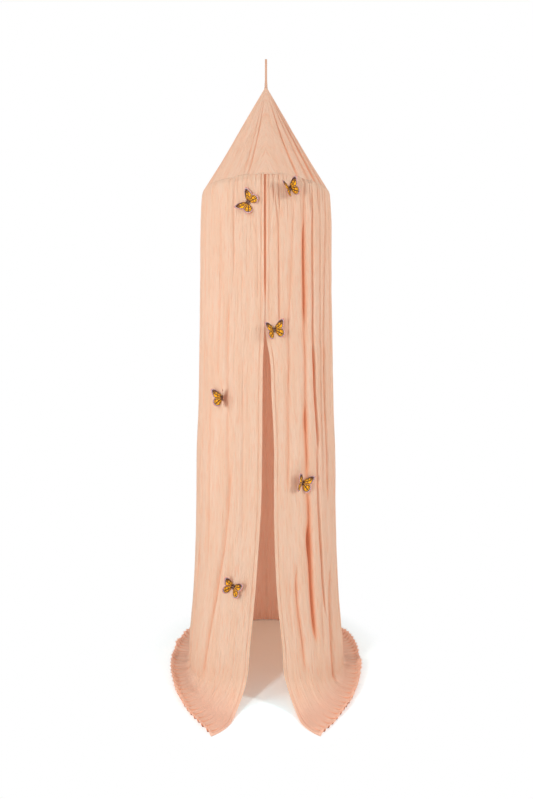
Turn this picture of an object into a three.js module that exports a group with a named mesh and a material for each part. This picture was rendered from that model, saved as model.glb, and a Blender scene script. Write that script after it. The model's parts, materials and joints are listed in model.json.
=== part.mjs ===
// Bed crown canopy. A cone of four gores hangs from a loop over a hoop, and four drapes fall from the hoop
// to the floor, where they turn outwards into a train. The two front drapes part at the front, and six
// cloth butterflies are sewn to the front by their bodies, so that their wings lift off the cloth.
// Millimetres, +Z up, and -Y is the front. The origin is the inside top of the loop's eye, where the hook
// bears.
import * as THREE from "three";

const degree = Math.PI / 180;

// Driving dimensions.
const hangHeight = 2370; // from the hook down to the floor
const loopLength = 105; // from the hook down to the cone's tip
const coneHeight = 438; // from the cone's tip down to the hoop's centre line
const hoopRadius = 237.5; // of the hoop's centre line
const drapeStandOff = 17.5; // from the hoop's centre line out to the drapes' outer face below it
const trainWidth = 56; // of cloth lying on the floor at the two sides
const clothThickness = 2; // crinkled double gauze, as thick as its crinkles
const headingDrop = 160; // the gathered head of a front drape, sewn to the hoop
const floorTurn = 38; // the radius of the bend at the front, where a drape meets the floor
const foldDepth = 17; // of the deepest fold
const seamGap = 0.3; // between two pieces that are sewn to each other
const slitGap = 3; // between the closed part of the two front edges
const slitOffset = -3; // the slit's place, to the right of the middle
const swingGap = 0.6; // between a head and the free cloth under it
const swingLift = 1.2; // between the hems, where a front drape's train passes over a back drape's

const drapeRadius = hoopRadius + drapeStandOff;

// Heights.
const tipZ = -loopLength;
const hoopZ = tipZ - coneHeight;
const floorZ = -hangHeight;
const fall = hoopZ - floorZ;
const headingShare = headingDrop / fall;
const turnShare = 1 - floorTurn / fall;

// Angles round the canopy are from the front, and positive to the right.
const sideAngle = 90 * degree;
const backAngle = 180 * degree;
const cornerAngle = 20.7 * degree;

// The drapes' outer radius, as shares of drapeRadius, against shares of the fall.
const radiusShares = [
  [0.02, 0.985],
  [0.07, 0.998],
  [0.2, 1],
  [0.3, 1.008],
  [0.45, 1.027],
  [0.55, 1.055],
  [0.7, 1.065],
  [0.83, 1.1],
  [0.91, 1.143],
  [0.94, 1.165],
  [1, 1.18],
];

// How far each front edge is drawn from the slit, as shares of drapeRadius against shares of the fall.
const leftPartingShares = [
  [0.27, 0],
  [0.294, 0.008],
  [0.354, 0.027],
  [0.526, 0.037],
  [0.622, 0.05],
  [0.715, 0.088],
  [0.808, 0.139],
  [0.9, 0.204],
  [0.94, 0.227],
  [0.973, 0.267],
  [1, 0.312],
];
const rightPartingShares = [
  [0.27, 0],
  [0.294, 0.008],
  [0.354, 0.069],
  [0.409, 0.084],
  [0.526, 0.121],
  [0.622, 0.119],
  [0.715, 0.131],
  [0.808, 0.164],
  [0.9, 0.233],
  [0.94, 0.247],
  [0.973, 0.294],
  [1, 0.336],
];

// The bend's radius as shares of floorTurn, against degrees from the front.
const turnRadiusShares = [
  [20, 1],
  [45, 0.85],
  [66, 0.6],
  [90, 0.4],
  [120, 0.35],
  [180, 0.35],
];

// How wide the train lies, from the bend to the hem, as shares of trainWidth against degrees from the front.
const trainShares = [
  [20.7, 2.6],
  [25.4, 2.3],
  [33, 1.79],
  [45, 1.29],
  [52, 1.09],
  [66, 0.91],
  [80, 0.93],
  [91, 1],
  [108, 1.29],
  [124, 1.51],
  [180, 1.57],
];

// How far a front drape's train is lifted beside the side seam, as shares of its lift, against degrees from
// the front.
const lapShares = [
  [66, 0],
  [80, 1],
];

// Each panel's main folds: where each lies across the panel at the hoop and at the floor, its half width
// there, and its depth as a share of foldDepth.
const leftFrontFoldShares = [
  [0.1, 0.12, 0.045, 0.18],
  [0.3, 0.44, 0.05, 0.4],
  [0.47, 0.6, 0.045, 0.38],
  [0.6, 0.74, 0.04, 0.5],
  [0.74, 0.84, 0.04, 0.45],
  [0.88, 0.93, 0.035, 0.55],
];
const rightFrontFoldShares = [
  [0.12, 0.09, 0.04, 0.35],
  [0.22, 0.17, 0.035, 0.3],
  [0.38, 0.27, 0.045, 1],
  [0.485, 0.42, 0.035, 0.8],
  [0.59, 0.56, 0.035, 0.6],
  [0.7, 0.7, 0.04, 0.75],
  [0.86, 0.87, 0.04, 0.6],
];
const backFoldShares = [
  [0.08, 0.07, 0.045, 0.55],
  [0.22, 0.24, 0.04, 0.8],
  [0.36, 0.35, 0.045, 0.6],
  [0.5, 0.53, 0.04, 0.85],
  [0.64, 0.63, 0.045, 0.6],
  [0.77, 0.79, 0.04, 0.75],
  [0.91, 0.9, 0.04, 0.55],
];
// How deep the folds are, as shares of their depth, against shares of the fall.
const foldGrowthShares = [
  [0, 0],
  [0.008, 0.05],
  [0.035, 0.3],
  [0.2, 0.62],
  [0.45, 0.85],
  [0.8, 1],
  [1, 0.9],
];

// A table's value at a place, on straight lines between its rows.
function valueAt(table, place) {
  if (place <= table[0][0]) return table[0][1];
  for (let i = 1; i < table.length; i++) {
    const [left, low] = table[i - 1];
    const [right, high] = table[i];
    if (place <= right) return low + ((high - low) * (place - left)) / (right - left);
  }
  return table.at(-1)[1];
}

const mix = (from, to, share) => from + (to - from) * share;

// The point at a radius, an angle from the front and a height.
const polar = (radius, angle, height) =>
  new THREE.Vector3(radius * Math.sin(angle), -radius * Math.cos(angle), height);

// Whole steps from 0 to 1.
const steps = (count) => Array.from({ length: count + 1 }, (_, i) => i / count);

// A closed geometry from its points and triangles, with its faces turned outwards.
function closed(points, triangles) {
  let volume = 0;
  for (const [a, b, c] of triangles)
    volume += points[a].dot(new THREE.Vector3().crossVectors(points[b], points[c]));
  const faces = volume < 0 ? triangles.map(([a, b, c]) => [a, c, b]) : triangles;
  const geometry = new THREE.BufferGeometry().setFromPoints(points);
  geometry.setIndex(faces.flat());
  geometry.computeVertexNormals();
  return geometry;
}

// A sheet with thickness: two grids of points, rows by columns, one for each face. A wrapped sheet is a tube.
function sheet(under, over, wrapped = false) {
  const rows = under.length;
  const columns = under[0].length;
  const points = [...under.flat(), ...over.flat()];
  const top = rows * columns;
  const triangles = [];
  const quad = (a, b, c, d) => triangles.push([a, b, c], [a, c, d]);
  const at = (i, j) => i * columns + (j % columns);
  const spans = wrapped ? columns : columns - 1;
  for (let i = 0; i < rows - 1; i++)
    for (let j = 0; j < spans; j++) {
      quad(at(i, j), at(i, j + 1), at(i + 1, j + 1), at(i + 1, j));
      quad(top + at(i, j), top + at(i + 1, j), top + at(i + 1, j + 1), top + at(i, j + 1));
    }
  const last = rows - 1;
  for (let j = 0; j < spans; j++) {
    quad(at(0, j), top + at(0, j), top + at(0, j + 1), at(0, j + 1));
    quad(at(last, j), at(last, j + 1), top + at(last, j + 1), top + at(last, j));
  }
  if (!wrapped)
    for (let i = 0; i < rows - 1; i++) {
      quad(at(i, 0), at(i + 1, 0), top + at(i + 1, 0), top + at(i, 0));
      const edge = columns - 1;
      quad(at(i, edge), top + at(i, edge), top + at(i + 1, edge), at(i + 1, edge));
    }
  return closed(points, triangles);
}

// A solid bar through rings of points, each ring convex.
function bar(rings) {
  const sides = rings[0].length;
  const triangles = [];
  for (let i = 0; i < rings.length - 1; i++)
    for (let j = 0; j < sides; j++) {
      const a = i * sides + j;
      const b = i * sides + ((j + 1) % sides);
      triangles.push([a, b, b + sides], [a, b + sides, a + sides]);
    }
  const last = (rings.length - 1) * sides;
  for (let j = 1; j < sides - 1; j++) {
    triangles.push([0, j + 1, j], [last, last + j, last + j + 1]);
  }
  return closed(rings.flat(), triangles);
}

// Materials.
const cloth = new THREE.MeshStandardMaterial({ color: 0xeec4a8, roughness: 0.9, metalness: 0 });
const strap = new THREE.MeshStandardMaterial({ color: 0xe6b498, roughness: 0.85, metalness: 0 });
const rodPlastic = new THREE.MeshStandardMaterial({ color: 0xf1efe9, roughness: 0.45, metalness: 0 });
const sleevePlastic = new THREE.MeshStandardMaterial({ color: 0xd9d6cf, roughness: 0.5, metalness: 0 });
const wingCloth = new THREE.MeshStandardMaterial({ color: 0xf0a020, roughness: 0.7, metalness: 0 });
const bodyThread = new THREE.MeshStandardMaterial({ color: 0x3a2620, roughness: 0.8, metalness: 0 });

const canopy = new THREE.Group();

function add(name, geometry, material, parent = canopy) {
  const mesh = new THREE.Mesh(geometry, material);
  mesh.name = name;
  parent.add(mesh);
  return mesh;
}

// The hoop: four rods in a ring, whose ends butt inside four sleeves.
const rodRadius = 5;
const sleeveWall = 1;
const sleeveHalfLength = 25;
const rodFit = 0.3; // between a rod and its sleeve
const sleeveFit = 0.3; // between a sleeve and the casing
const casingWall = 1.2;
const sleeveBore = rodRadius + rodFit;
const sleeveRadius = sleeveBore + sleeveWall;
const casingBore = sleeveRadius + sleeveFit;
const casingRadius = casingBore + casingWall;
const casingFit = 0.4; // between the casing and the cloth over it
const hoopSides = 8;
const hoopStep = 6 * degree;
const firstSleeve = 30 * degree;
const sideTurn = 360 / hoopSides * degree;

// A section round the hoop's centre line at one angle. Every section has its corners at the same turns.
function hoopSection(angle, radius) {
  return Array.from({ length: hoopSides }, (_, i) => {
    const turn = sideTurn * (i + 0.5);
    return polar(hoopRadius + radius * Math.cos(turn), angle, hoopZ + radius * Math.sin(turn));
  });
}

const rodEnd = seamGap / 2 / hoopRadius;
["front_left", "back_left", "back_right", "front_right"].forEach((place, i) => {
  const start = -firstSleeve - i * sideAngle;
  const count = Math.round(sideAngle / hoopStep);
  const rings = steps(count).map((share) =>
    hoopSection(mix(start - rodEnd, start - sideAngle + rodEnd, share), rodRadius),
  );
  add(`hoop_rod_${place}`, bar(rings), rodPlastic);
  const reach = sleeveHalfLength / hoopRadius;
  const grid = (radius) =>
    [start + reach, start, start - reach].map((angle) => hoopSection(angle, radius));
  add(`hoop_sleeve_${place}`, sheet(grid(sleeveBore), grid(sleeveRadius), true), sleevePlastic);
});

// The casing: a strip round the inside of the hoop, sewn to the cloth outside it along its two edges, with a
// gap at the back where the rods go in.
const casingGap = 15;
const casingEnd = backAngle - casingGap / 2 / hoopRadius;
const casingSteps = Math.floor(casingEnd / hoopStep);
const casingAngles = [
  -casingEnd,
  ...Array.from({ length: 2 * casingSteps + 1 }, (_, i) => (i - casingSteps) * hoopStep),
  casingEnd,
];
const casingGrid = (radius) => casingAngles.map((angle) => hoopSection(angle, radius));
add("hoop_casing", sheet(casingGrid(casingBore), casingGrid(casingRadius)), cloth);

// The cone: four gores, sewn edge to edge, that pass over the casing and narrow to a tube round the loop's
// ends.
const overCasing = casingRadius + casingFit;
const tipBore = 4;
const tipLength = 11;
const goreColumns = 15;
const coneLean = Math.atan((hoopRadius - tipBore) / (coneHeight - tipLength));

// A gore's profile, from the hoop up to the tip: each row is a radius and a height, and the way its face
// points.
function goreProfile() {
  const overHoop = [0, 0.5, 1].map((share) => ({
    radius: hoopRadius + overCasing * Math.cos(coneLean * share),
    height: hoopZ + overCasing * Math.sin(coneLean * share),
    lean: coneLean * share,
  }));
  const shoulder = overHoop[2];
  const neck = { radius: tipBore, height: tipZ - tipLength, lean: coneLean };
  const middle = {
    radius: mix(shoulder.radius, neck.radius, 0.5),
    height: mix(shoulder.height, neck.height, 0.5),
    lean: coneLean,
  };
  const end = { radius: tipBore, height: tipZ, lean: 0 };
  return [...overHoop, middle, neck, end];
}

// A row of a gore at one face. The ends of the row stay half a seam's gap inside their seams.
function goreRow(row, side, back, rise) {
  const radius = row.radius + rise * Math.cos(row.lean);
  const inset = seamGap / 2 / row.radius;
  const from = back ? sideAngle : 0;
  const height = row.height + rise * Math.sin(row.lean);
  return steps(goreColumns).map((share) => {
    const angle = side * mix(from + inset, from + sideAngle - inset, share);
    return polar(radius, angle, height);
  });
}

for (const [name, side, back] of [
  ["front_left_gore", -1, false],
  ["front_right_gore", 1, false],
  ["back_left_gore", -1, true],
  ["back_right_gore", 1, true],
]) {
  const face = (rise) => goreProfile().map((row) => goreRow(row, side, back, rise));
  add(name, sheet(face(0), face(clothThickness)), cloth);
}

// The collar: a band bound round the gores' tips.
const collarWall = 1.6;
const collarLength = 9;
const collarBore = tipBore + clothThickness + seamGap;
const collarSegments = 16;
const collarProfile = [
  [collarBore, tipZ - collarLength],
  [collarBore + collarWall, tipZ - collarLength],
  [collarBore + collarWall, tipZ],
  [collarBore, tipZ],
  [collarBore, tipZ - collarLength],
].map(([radius, height]) => new THREE.Vector2(radius, height));
const collar = add("apex_collar", new THREE.LatheGeometry(collarProfile, collarSegments), strap);
collar.geometry.rotateX(sideAngle);

// The hanging loop: one tape, folded over the hook, whose two ends go down inside the gores' tips.
const tapeWidth = 7;
const tapeThickness = 1;
const tapeParting = 0.3; // between the two ends
const eyeRadius = 6.5;
const eyeLengthShare = 0.55;
const tapeEnd = loopLength + tipLength;
const eyePoints = 10;

// One face of the tape's right half, from its end up to the top, at a distance from the eye's own face.
function tapeHalf(outwards) {
  const eyeCentre = -eyeRadius;
  const neck = -loopLength * eyeLengthShare;
  const straight = tapeParting / 2 + outwards;
  const bend = steps(eyePoints).map((share) => {
    const turn = mix(0, sideAngle, share);
    const radius = eyeRadius + outwards;
    return [radius * Math.cos(turn), eyeCentre + radius * Math.sin(turn)];
  });
  return [[straight, -tapeEnd], [straight, neck], ...bend];
}

const tapeOutline = [
  ...tapeHalf(tapeThickness),
  ...tapeHalf(tapeThickness)
    .map(([y, z]) => [-y, z])
    .reverse()
    .slice(1),
  ...tapeHalf(0).map(([y, z]) => [-y, z]),
  ...tapeHalf(0).reverse().slice(1),
].map(([y, z]) => new THREE.Vector2(y, z));
const tape = new THREE.ExtrudeGeometry(new THREE.Shape(tapeOutline), {
  depth: tapeWidth,
  bevelEnabled: false,
  steps: 1,
});
tape.translate(0, 0, -tapeWidth / 2);
tape.rotateX(sideAngle);
tape.rotateZ(sideAngle);
add("hanging_loop", tape, strap);

// The drapes. A panel runs from its front edge to its seam, and its rows run from the hoop down to the hem.
const drapeColumns = 33;
const headingRowShares = [0, 0.008, 0.035, headingShare];
const fallRowShares = [0.27, 0.4, 0.55, 0.7, 0.84, 0.93, turnShare];
const turnRows = 3;
const trainRows = 2;
const topRadius = hoopRadius + overCasing + clothThickness;

// The outer radius of the drapes at a share of the fall, before their folds.
function drapeRadiusAt(share) {
  const [firstShare, firstRadiusShare] = radiusShares[0];
  if (share >= firstShare) return drapeRadius * valueAt(radiusShares, share);
  return mix(topRadius, drapeRadius * firstRadiusShare, share / firstShare);
}

// How far the cloth lies behind its outer radius at a place across the panel.
function foldAt(folds, across, share) {
  let depth = 0;
  for (const [atHoop, atFloor, halfWidth, depthShare] of folds) {
    const from = (across - mix(atHoop, atFloor, share)) / halfWidth;
    depth += depthShare * Math.exp(-from * from);
  }
  return foldDepth * depth * valueAt(foldGrowthShares, share);
}

// The angle of a front panel's own edge at a share of the fall, and of a back panel's edge at the side seam.
function edgeAngleAt(panel, share) {
  if (panel.back) return sideAngle;
  const drawn = slitGap / 2 + drapeRadius * valueAt(panel.partingShares, share);
  return Math.asin((panel.side * slitOffset + drawn) / drapeRadiusAt(share));
}

// The angle at a place across the panel, half a seam's gap inside its seams.
function angleAt(panel, across, edgeAngle, radius) {
  const inset = seamGap / 2 / radius;
  const from = panel.back ? edgeAngle + inset : edgeAngle;
  const to = (panel.back ? backAngle : sideAngle) - inset;
  return panel.side * mix(from, to, across);
}

// A row on the fall, at a share of it, with the cloth's two faces under and over.
function fallRow(panel, share, height) {
  const outer = drapeRadiusAt(share);
  const edge = edgeAngleAt(panel, share);
  const face = (rise) =>
    steps(drapeColumns).map((across) => {
      const radius = outer - foldAt(panel.foldShares, across, share) - clothThickness + rise;
      return polar(radius, angleAt(panel, across, edge, outer), height);
    });
  return [face(0), face(clothThickness)];
}

// A row on the bend above the floor, and a row on the train, where turn is the quarter turn from upright to
// flat.
function floorRow(panel, turn, outShare) {
  const edge = panel.back ? sideAngle : mix(edgeAngleAt(panel, 1), cornerAngle, outShare);
  const contact = drapeRadiusAt(1) - clothThickness;
  const lift = panel.back ? 0 : clothThickness + swingLift;
  const face = (rise) =>
    steps(drapeColumns).map((across) => {
      const angle = angleAt(panel, across, edge, contact);
      const place = Math.abs(angle) / degree;
      const bend = floorTurn * valueAt(turnRadiusShares, place);
      const foot = contact - foldAt(panel.foldShares, across, 1);
      const bent = foot + bend - (bend - rise) * Math.cos(turn);
      const hem = contact + bend + trainWidth * valueAt(trainShares, place);
      const lap = lift * valueAt(lapShares, place);
      const height = floorZ + bend + (lap - bend + rise) * Math.sin(turn);
      return polar(mix(bent, hem, outShare), angle, height);
    });
  return [face(0), face(clothThickness)];
}

function panelSolid(rows) {
  return sheet(
    rows.map(([under]) => under),
    rows.map(([, over]) => over),
  );
}

const heightAt = (share) => hoopZ - share * fall;

// Rows of the head, just under the seam at the hoop and just over the line where a front drape is free to
// swing.
function headRows(panel, lastRise) {
  return headingRowShares.map((share, i) => {
    const atTop = i === 0 ? -seamGap : 0;
    const atEnd = i === headingRowShares.length - 1 ? lastRise : 0;
    return fallRow(panel, share, heightAt(share) + atTop + atEnd);
  });
}

function lowerRows(panel) {
  const falling = fallRowShares.map((share) => fallRow(panel, share, heightAt(share)));
  const turning = steps(turnRows)
    .slice(1)
    .map((share) => floorRow(panel, share * sideAngle, 0));
  const lying = steps(trainRows)
    .slice(1)
    .map((share) => floorRow(panel, sideAngle, share));
  return [...falling, ...turning, ...lying];
}

const frontPanels = [
  { name: "left_front", side: -1, partingShares: leftPartingShares, foldShares: leftFrontFoldShares },
  { name: "right_front", side: 1, partingShares: rightPartingShares, foldShares: rightFrontFoldShares },
];
const backPanels = [
  { name: "left_back", side: -1, back: true, foldShares: backFoldShares },
  { name: "right_back", side: 1, back: true, foldShares: backFoldShares },
];
const frontCloth = {};
for (const panel of frontPanels) {
  frontCloth[`${panel.name}_heading`] = add(
    `${panel.name}_heading`,
    panelSolid(headRows(panel, swingGap / 2)),
    cloth,
  );
  const freeTop = fallRow(panel, headingShare, heightAt(headingShare) - swingGap / 2);
  frontCloth[`${panel.name}_drape`] = add(
    `${panel.name}_drape`,
    panelSolid([freeTop, ...lowerRows(panel)]),
    cloth,
  );
}
for (const panel of backPanels) {
  add(`${panel.name}_drape`, panelSolid([...headRows(panel, 0), ...lowerRows(panel)]), cloth);
}

// The butterflies: a thread-bound body, and on each side of it a wing that hinges along the body.
const wingLength = 46;
const wingThickness = 0.8;
const thoraxRadius = 1.5;
const butterflyLength = 22;
const wingGap = 0.3; // between a body and its wings, and between a body and the cloth under it
const wingPoints = 30;
const bodySides = 8;
const hingeOffset = thoraxRadius + wingGap + wingThickness / 2; // from the body's middle to a wing's hinge

// The outline of the fore and hind wing of one side, as shares of wingLength: out from the hinge, and
// towards the head.
const wingShares = [
  [0, 0.13],
  [0.16, 0.37],
  [0.33, 0.52],
  [0.52, 0.66],
  [0.7, 0.73],
  [0.84, 0.74],
  [0.89, 0.66],
  [0.87, 0.5],
  [0.8, 0.29],
  [0.7, 0.07],
  [0.65, -0.03],
  [0.73, -0.13],
  [0.77, -0.3],
  [0.73, -0.48],
  [0.62, -0.62],
  [0.45, -0.69],
  [0.27, -0.66],
  [0.13, -0.49],
  [0.05, -0.28],
  [0, -0.13],
];

function wingGeometry(side) {
  const knots = wingShares.map(([out, on]) => new THREE.Vector2(out * wingLength, on * wingLength));
  const curve = new THREE.SplineCurve(knots).getPoints(wingPoints);
  const outline = curve.map((point) => new THREE.Vector2(side * Math.max(point.x, 0), point.y));
  const geometry = new THREE.ExtrudeGeometry(new THREE.Shape(outline), {
    depth: wingThickness,
    bevelEnabled: false,
    steps: 1,
  });
  geometry.translate(0, 0, -wingThickness / 2);
  return geometry;
}

// The body's half outline from tail to head, as shares of its length and of its radius.
const bodyShares = [
  [-0.5, 0],
  [-0.46, 0.45],
  [-0.2, 0.75],
  [0.05, 0.7],
  [0.2, 1],
  [0.36, 0.8],
  [0.47, 0.6],
  [0.5, 0],
];

function bodyGeometry() {
  const profile = bodyShares.map(
    ([along, radiusShare]) => new THREE.Vector2(thoraxRadius * radiusShare, butterflyLength * along),
  );
  return new THREE.LatheGeometry(profile, bodySides);
}

// Where a butterfly is tried against the cloth: the underside of its body, and of its wings beside their
// hinges. Each place is beside the body's middle and along it, and as far below it.
const lowestLift = 18 * degree;
const undersideTurns = [-60, -30, 0, 30, 60].map((turn) => turn * degree);
const rootShares = [0, 0.06, 0.12];
const [, rootHalfShare] = wingShares[0];
const underside = [];
for (const [alongShare, radiusShare] of bodyShares)
  for (const turn of undersideTurns) {
    const radius = thoraxRadius * radiusShare;
    underside.push([radius * Math.sin(turn), butterflyLength * alongShare, radius * Math.cos(turn)]);
  }
for (const side of [-1, 1])
  for (const outShare of rootShares)
    for (const along of [-1, 0, 1]) {
      const out = outShare * wingLength;
      const drop = wingThickness / 2 - out * Math.sin(lowestLift);
      const spread = rootHalfShare * wingLength + out;
      underside.push([side * (hingeOffset + out), along * spread, drop]);
    }

// Each butterfly: the cloth it is sewn to, its angle from the front, its drop below the hoop as a share of
// the fall, how far its head leans to the right of upright, and how far its left and right wings lift off
// the cloth, in degrees.
const butterflies = [
  { on: "left_front_heading", angle: -14.5, dropShare: 0.0412, lean: -58, left: 16, right: 14 },
  { on: "right_front_heading", angle: 19.8, dropShare: 0.0132, lean: -23, left: 52, right: 58 },
  { on: "right_front_drape", angle: 6.6, dropShare: 0.2889, lean: -12, left: 53, right: 26 },
  { on: "left_front_drape", angle: -37.2, dropShare: 0.4233, lean: -3, left: 30, right: 43 },
  { on: "right_front_drape", angle: 29.6, dropShare: 0.5885, lean: 16, left: 50, right: 18 },
  { on: "left_front_drape", angle: -24.5, dropShare: 0.7857, lean: 20, left: 48, right: 26 },
];

// How far the cloth stands out, along a direction, from a point, where a ray from outside meets it.
function clothRise(mesh, point, outwards) {
  const start = point.clone().addScaledVector(outwards, wingLength);
  const hit = new THREE.Raycaster(start, outwards.clone().negate()).intersectObject(mesh)[0];
  return wingLength - hit.distance;
}

canopy.updateMatrixWorld(true);
butterflies.forEach((butterfly, i) => {
  const sewnTo = frontCloth[butterfly.on];
  const angle = butterfly.angle * degree;
  const outwards = polar(1, angle, 0);
  const frame = new THREE.Group();
  // The frame's x runs to the right across the cloth, y towards the head and z off the cloth.
  frame.matrixAutoUpdate = false;
  const upright = new THREE.Matrix4().makeBasis(
    polar(1, angle + sideAngle, 0),
    new THREE.Vector3(0, 0, 1),
    outwards,
  );
  upright.multiply(new THREE.Matrix4().makeRotationZ(-butterfly.lean * degree));
  const middle = polar(drapeRadius, angle, heightAt(butterfly.dropShare));
  // The body's middle stands where its underside and the wings' roots just clear the cloth.
  const seats = underside.map(([beside, along, drop]) => {
    const foot = new THREE.Vector3(beside, along, 0).applyMatrix4(upright).add(middle);
    return clothRise(sewnTo, foot, outwards) + drop;
  });
  const seat = Math.max(...seats) + wingGap;
  frame.matrix.copy(upright).setPosition(middle.addScaledVector(outwards, seat));
  canopy.add(frame);
  const name = `butterfly_${i + 1}`;
  add(`${name}_body`, bodyGeometry(), bodyThread, frame);
  for (const [word, side] of [
    ["left", -1],
    ["right", 1],
  ]) {
    const wing = add(`${name}_${word}_wing`, wingGeometry(side), wingCloth, frame);
    wing.position.x = side * hingeOffset;
    wing.rotation.y = -side * butterfly[word] * degree;
  }
});

export default canopy;
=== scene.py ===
"""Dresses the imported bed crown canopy: gauze cone, drapes and train, tape loop, hoop and butterflies.

Metres, +Z up, -Y to the front. The origin is the inside top of the loop's eye. The floor is at z = -2.370.
"""

from __future__ import annotations

import json
import logging
import math
from dataclasses import dataclass, field
from enum import Enum

import bmesh
import bpy
import numpy as np
from mathutils import Matrix, Vector

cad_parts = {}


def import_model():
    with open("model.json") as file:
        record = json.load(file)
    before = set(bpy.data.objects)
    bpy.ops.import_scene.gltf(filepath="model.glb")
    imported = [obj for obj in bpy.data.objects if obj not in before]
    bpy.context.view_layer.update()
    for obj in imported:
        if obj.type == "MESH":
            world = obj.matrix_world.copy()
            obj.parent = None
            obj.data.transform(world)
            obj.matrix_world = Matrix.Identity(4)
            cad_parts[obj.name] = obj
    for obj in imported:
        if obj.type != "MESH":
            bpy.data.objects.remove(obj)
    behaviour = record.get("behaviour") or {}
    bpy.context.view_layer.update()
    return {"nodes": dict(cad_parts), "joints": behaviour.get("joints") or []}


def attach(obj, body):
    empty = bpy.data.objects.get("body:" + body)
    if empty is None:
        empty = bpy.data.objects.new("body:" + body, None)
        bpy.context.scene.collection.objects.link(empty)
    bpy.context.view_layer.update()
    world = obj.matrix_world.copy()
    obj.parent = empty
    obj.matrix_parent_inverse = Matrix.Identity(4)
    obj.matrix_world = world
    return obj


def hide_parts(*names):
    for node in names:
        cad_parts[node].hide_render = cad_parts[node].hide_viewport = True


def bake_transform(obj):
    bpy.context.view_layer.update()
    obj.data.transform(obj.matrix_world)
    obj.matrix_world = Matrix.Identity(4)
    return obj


log = logging.getLogger("canopy")

Grid = np.ndarray
Colour = tuple[float, float, float]

# Heights and radii of the solids, which the cloth keeps to.
TIP_Z = -0.105
HOOP_Z = -0.543
FLOOR_Z = -2.370
FALL = HOOP_Z - FLOOR_Z
HOOP_RADIUS = 0.2375
OVER_CASING = 0.0082
DRAPE_RADIUS = 0.255
CLOTH = 0.002
TIP_BORE = 0.004
TIP_LENGTH = 0.011
NECK_Z = TIP_Z - TIP_LENGTH
CONE_LEAN = math.atan((HOOP_RADIUS - TIP_BORE) / (NECK_Z - HOOP_Z))
SHOULDER_RADIUS = HOOP_RADIUS + OVER_CASING * math.cos(CONE_LEAN)
SHOULDER_Z = HOOP_Z + OVER_CASING * math.sin(CONE_LEAN)
CONE_SPREAD = (SHOULDER_RADIUS - TIP_BORE) / (NECK_Z - SHOULDER_Z)
FLOOR_TURN = 0.038
TRAIN_WIDTH = 0.056
SLIT_OFFSET = -0.003
CORNER_ANGLE = math.radians(20.7)
TRAIN_LIFT = 0.0032
# The front drapes' hinges: how far out, how much they lean outwards going down, and their top.
HINGE_OUT, HINGE_LEAN, HINGE_TOP = 0.2555, 0.0369, -0.703
MILLIMETRE = 0.001
# How thick the gauze and the tape are.
GAUZE_THICKNESS = 0.0008


class Place(Enum):
    """Where a drape hangs: the side it is on, and whether it is at the back."""

    LEFT_FRONT = (-1, False)
    RIGHT_FRONT = (1, False)
    LEFT_BACK = (-1, True)
    RIGHT_BACK = (1, True)

    @property
    def side(self) -> int:
        """-1 on the left and 1 on the right, as seen from the front."""
        return self.value[0]

    @property
    def back(self) -> bool:
        """Whether the drape is behind the side seams."""
        return self.value[1]


@dataclass(frozen=True)
class Curve:
    """A smooth curve through knots that doesn't pass over or under them."""

    knots: tuple[tuple[float, float], ...]

    def at(self, place: Grid | float) -> Grid:
        """Reads the curve.

        Args:
            place: Where to read it. Past either end it keeps the end's value.

        Returns:
            The curve's values there.
        """
        x, y = np.array(self.knots, float).T
        width = np.diff(x)
        slope = np.diff(y) / width
        tangent = np.concatenate([slope[:1], (slope[:-1] + slope[1:]) / 2, slope[-1:]])
        inner = tangent[1:-1]
        least = np.minimum(np.abs(slope[:-1]), np.abs(slope[1:]))
        inner[:] = np.clip(inner, -3 * least, 3 * least)
        inner[slope[:-1] * slope[1:] <= 0] = 0
        near = np.clip(place, x[0], x[-1])
        i = np.clip(np.searchsorted(x, near) - 1, 0, len(width) - 1)
        t = (near - x[i]) / width[i]
        rise = t * t * (3 - 2 * t)
        start = t * (1 - t) ** 2 * width[i] * tangent[i]
        end = t * t * (t - 1) * width[i] * tangent[i + 1]
        return y[i] * (1 - rise) + y[i + 1] * rise + start + end


def eased(share: Grid) -> Grid:
    """A share from 0 to 1, eased at both ends and held outside them."""
    held = np.clip(share, 0, 1)
    return held * held * (3 - 2 * held)


def bell(off: Grid) -> Grid:
    """A bump of height 1 at 0 that dies away on both sides of it."""
    return np.exp(-off * off)


def shares(count: int, endpoint: bool = True) -> Grid:
    """Even shares from 0 to 1 down the rows of a grid."""
    return np.linspace(0, 1, count, endpoint=endpoint)[:, None]


def distances(points: Grid, axis: int = 0) -> Grid:
    """Distances from the first point along an axis of a grid of points."""
    run = np.cumsum(np.linalg.norm(np.diff(points, axis=axis), axis=-1), axis=axis)
    return np.concatenate([0 * run.take([0], axis), run], axis)


def wander(seed: int, x: Grid, y: Grid | float) -> Grid:
    """Smooth noise over two coordinates.

    Args:
        seed: Which noise.
        x: First coordinate, in cells, from 0.
        y: Second coordinate, in cells, from 0. The two are spread over each other's rows and columns.

    Returns:
        Values from -1 to 1 that turn about once in each cell.
    """
    x, y = np.broadcast_arrays(x, y)
    i, j = np.floor(x).astype(int), np.floor(y).astype(int)
    rng = np.random.default_rng(seed)
    knots = rng.uniform(-1, 1, (int(i.max()) + 2, int(j.max()) + 2))
    s, t = eased(x - i), eased(y - j)
    low = knots[i, j] * (1 - s) + knots[i + 1, j] * s
    high = knots[i, j + 1] * (1 - s) + knots[i + 1, j + 1] * s
    return low * (1 - t) + high * t


def stacked(*parts: Grid) -> Grid:
    """Coordinates put together as points, spread over each other's rows and columns."""
    return np.stack(np.broadcast_arrays(*parts), axis=-1)


def ring_point(radius: Grid, angle: Grid, height: Grid) -> Grid:
    """Points at a radius, an angle from the front (positive to the right) and a height."""
    return stacked(radius * np.sin(angle), -radius * np.cos(angle), height)


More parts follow.
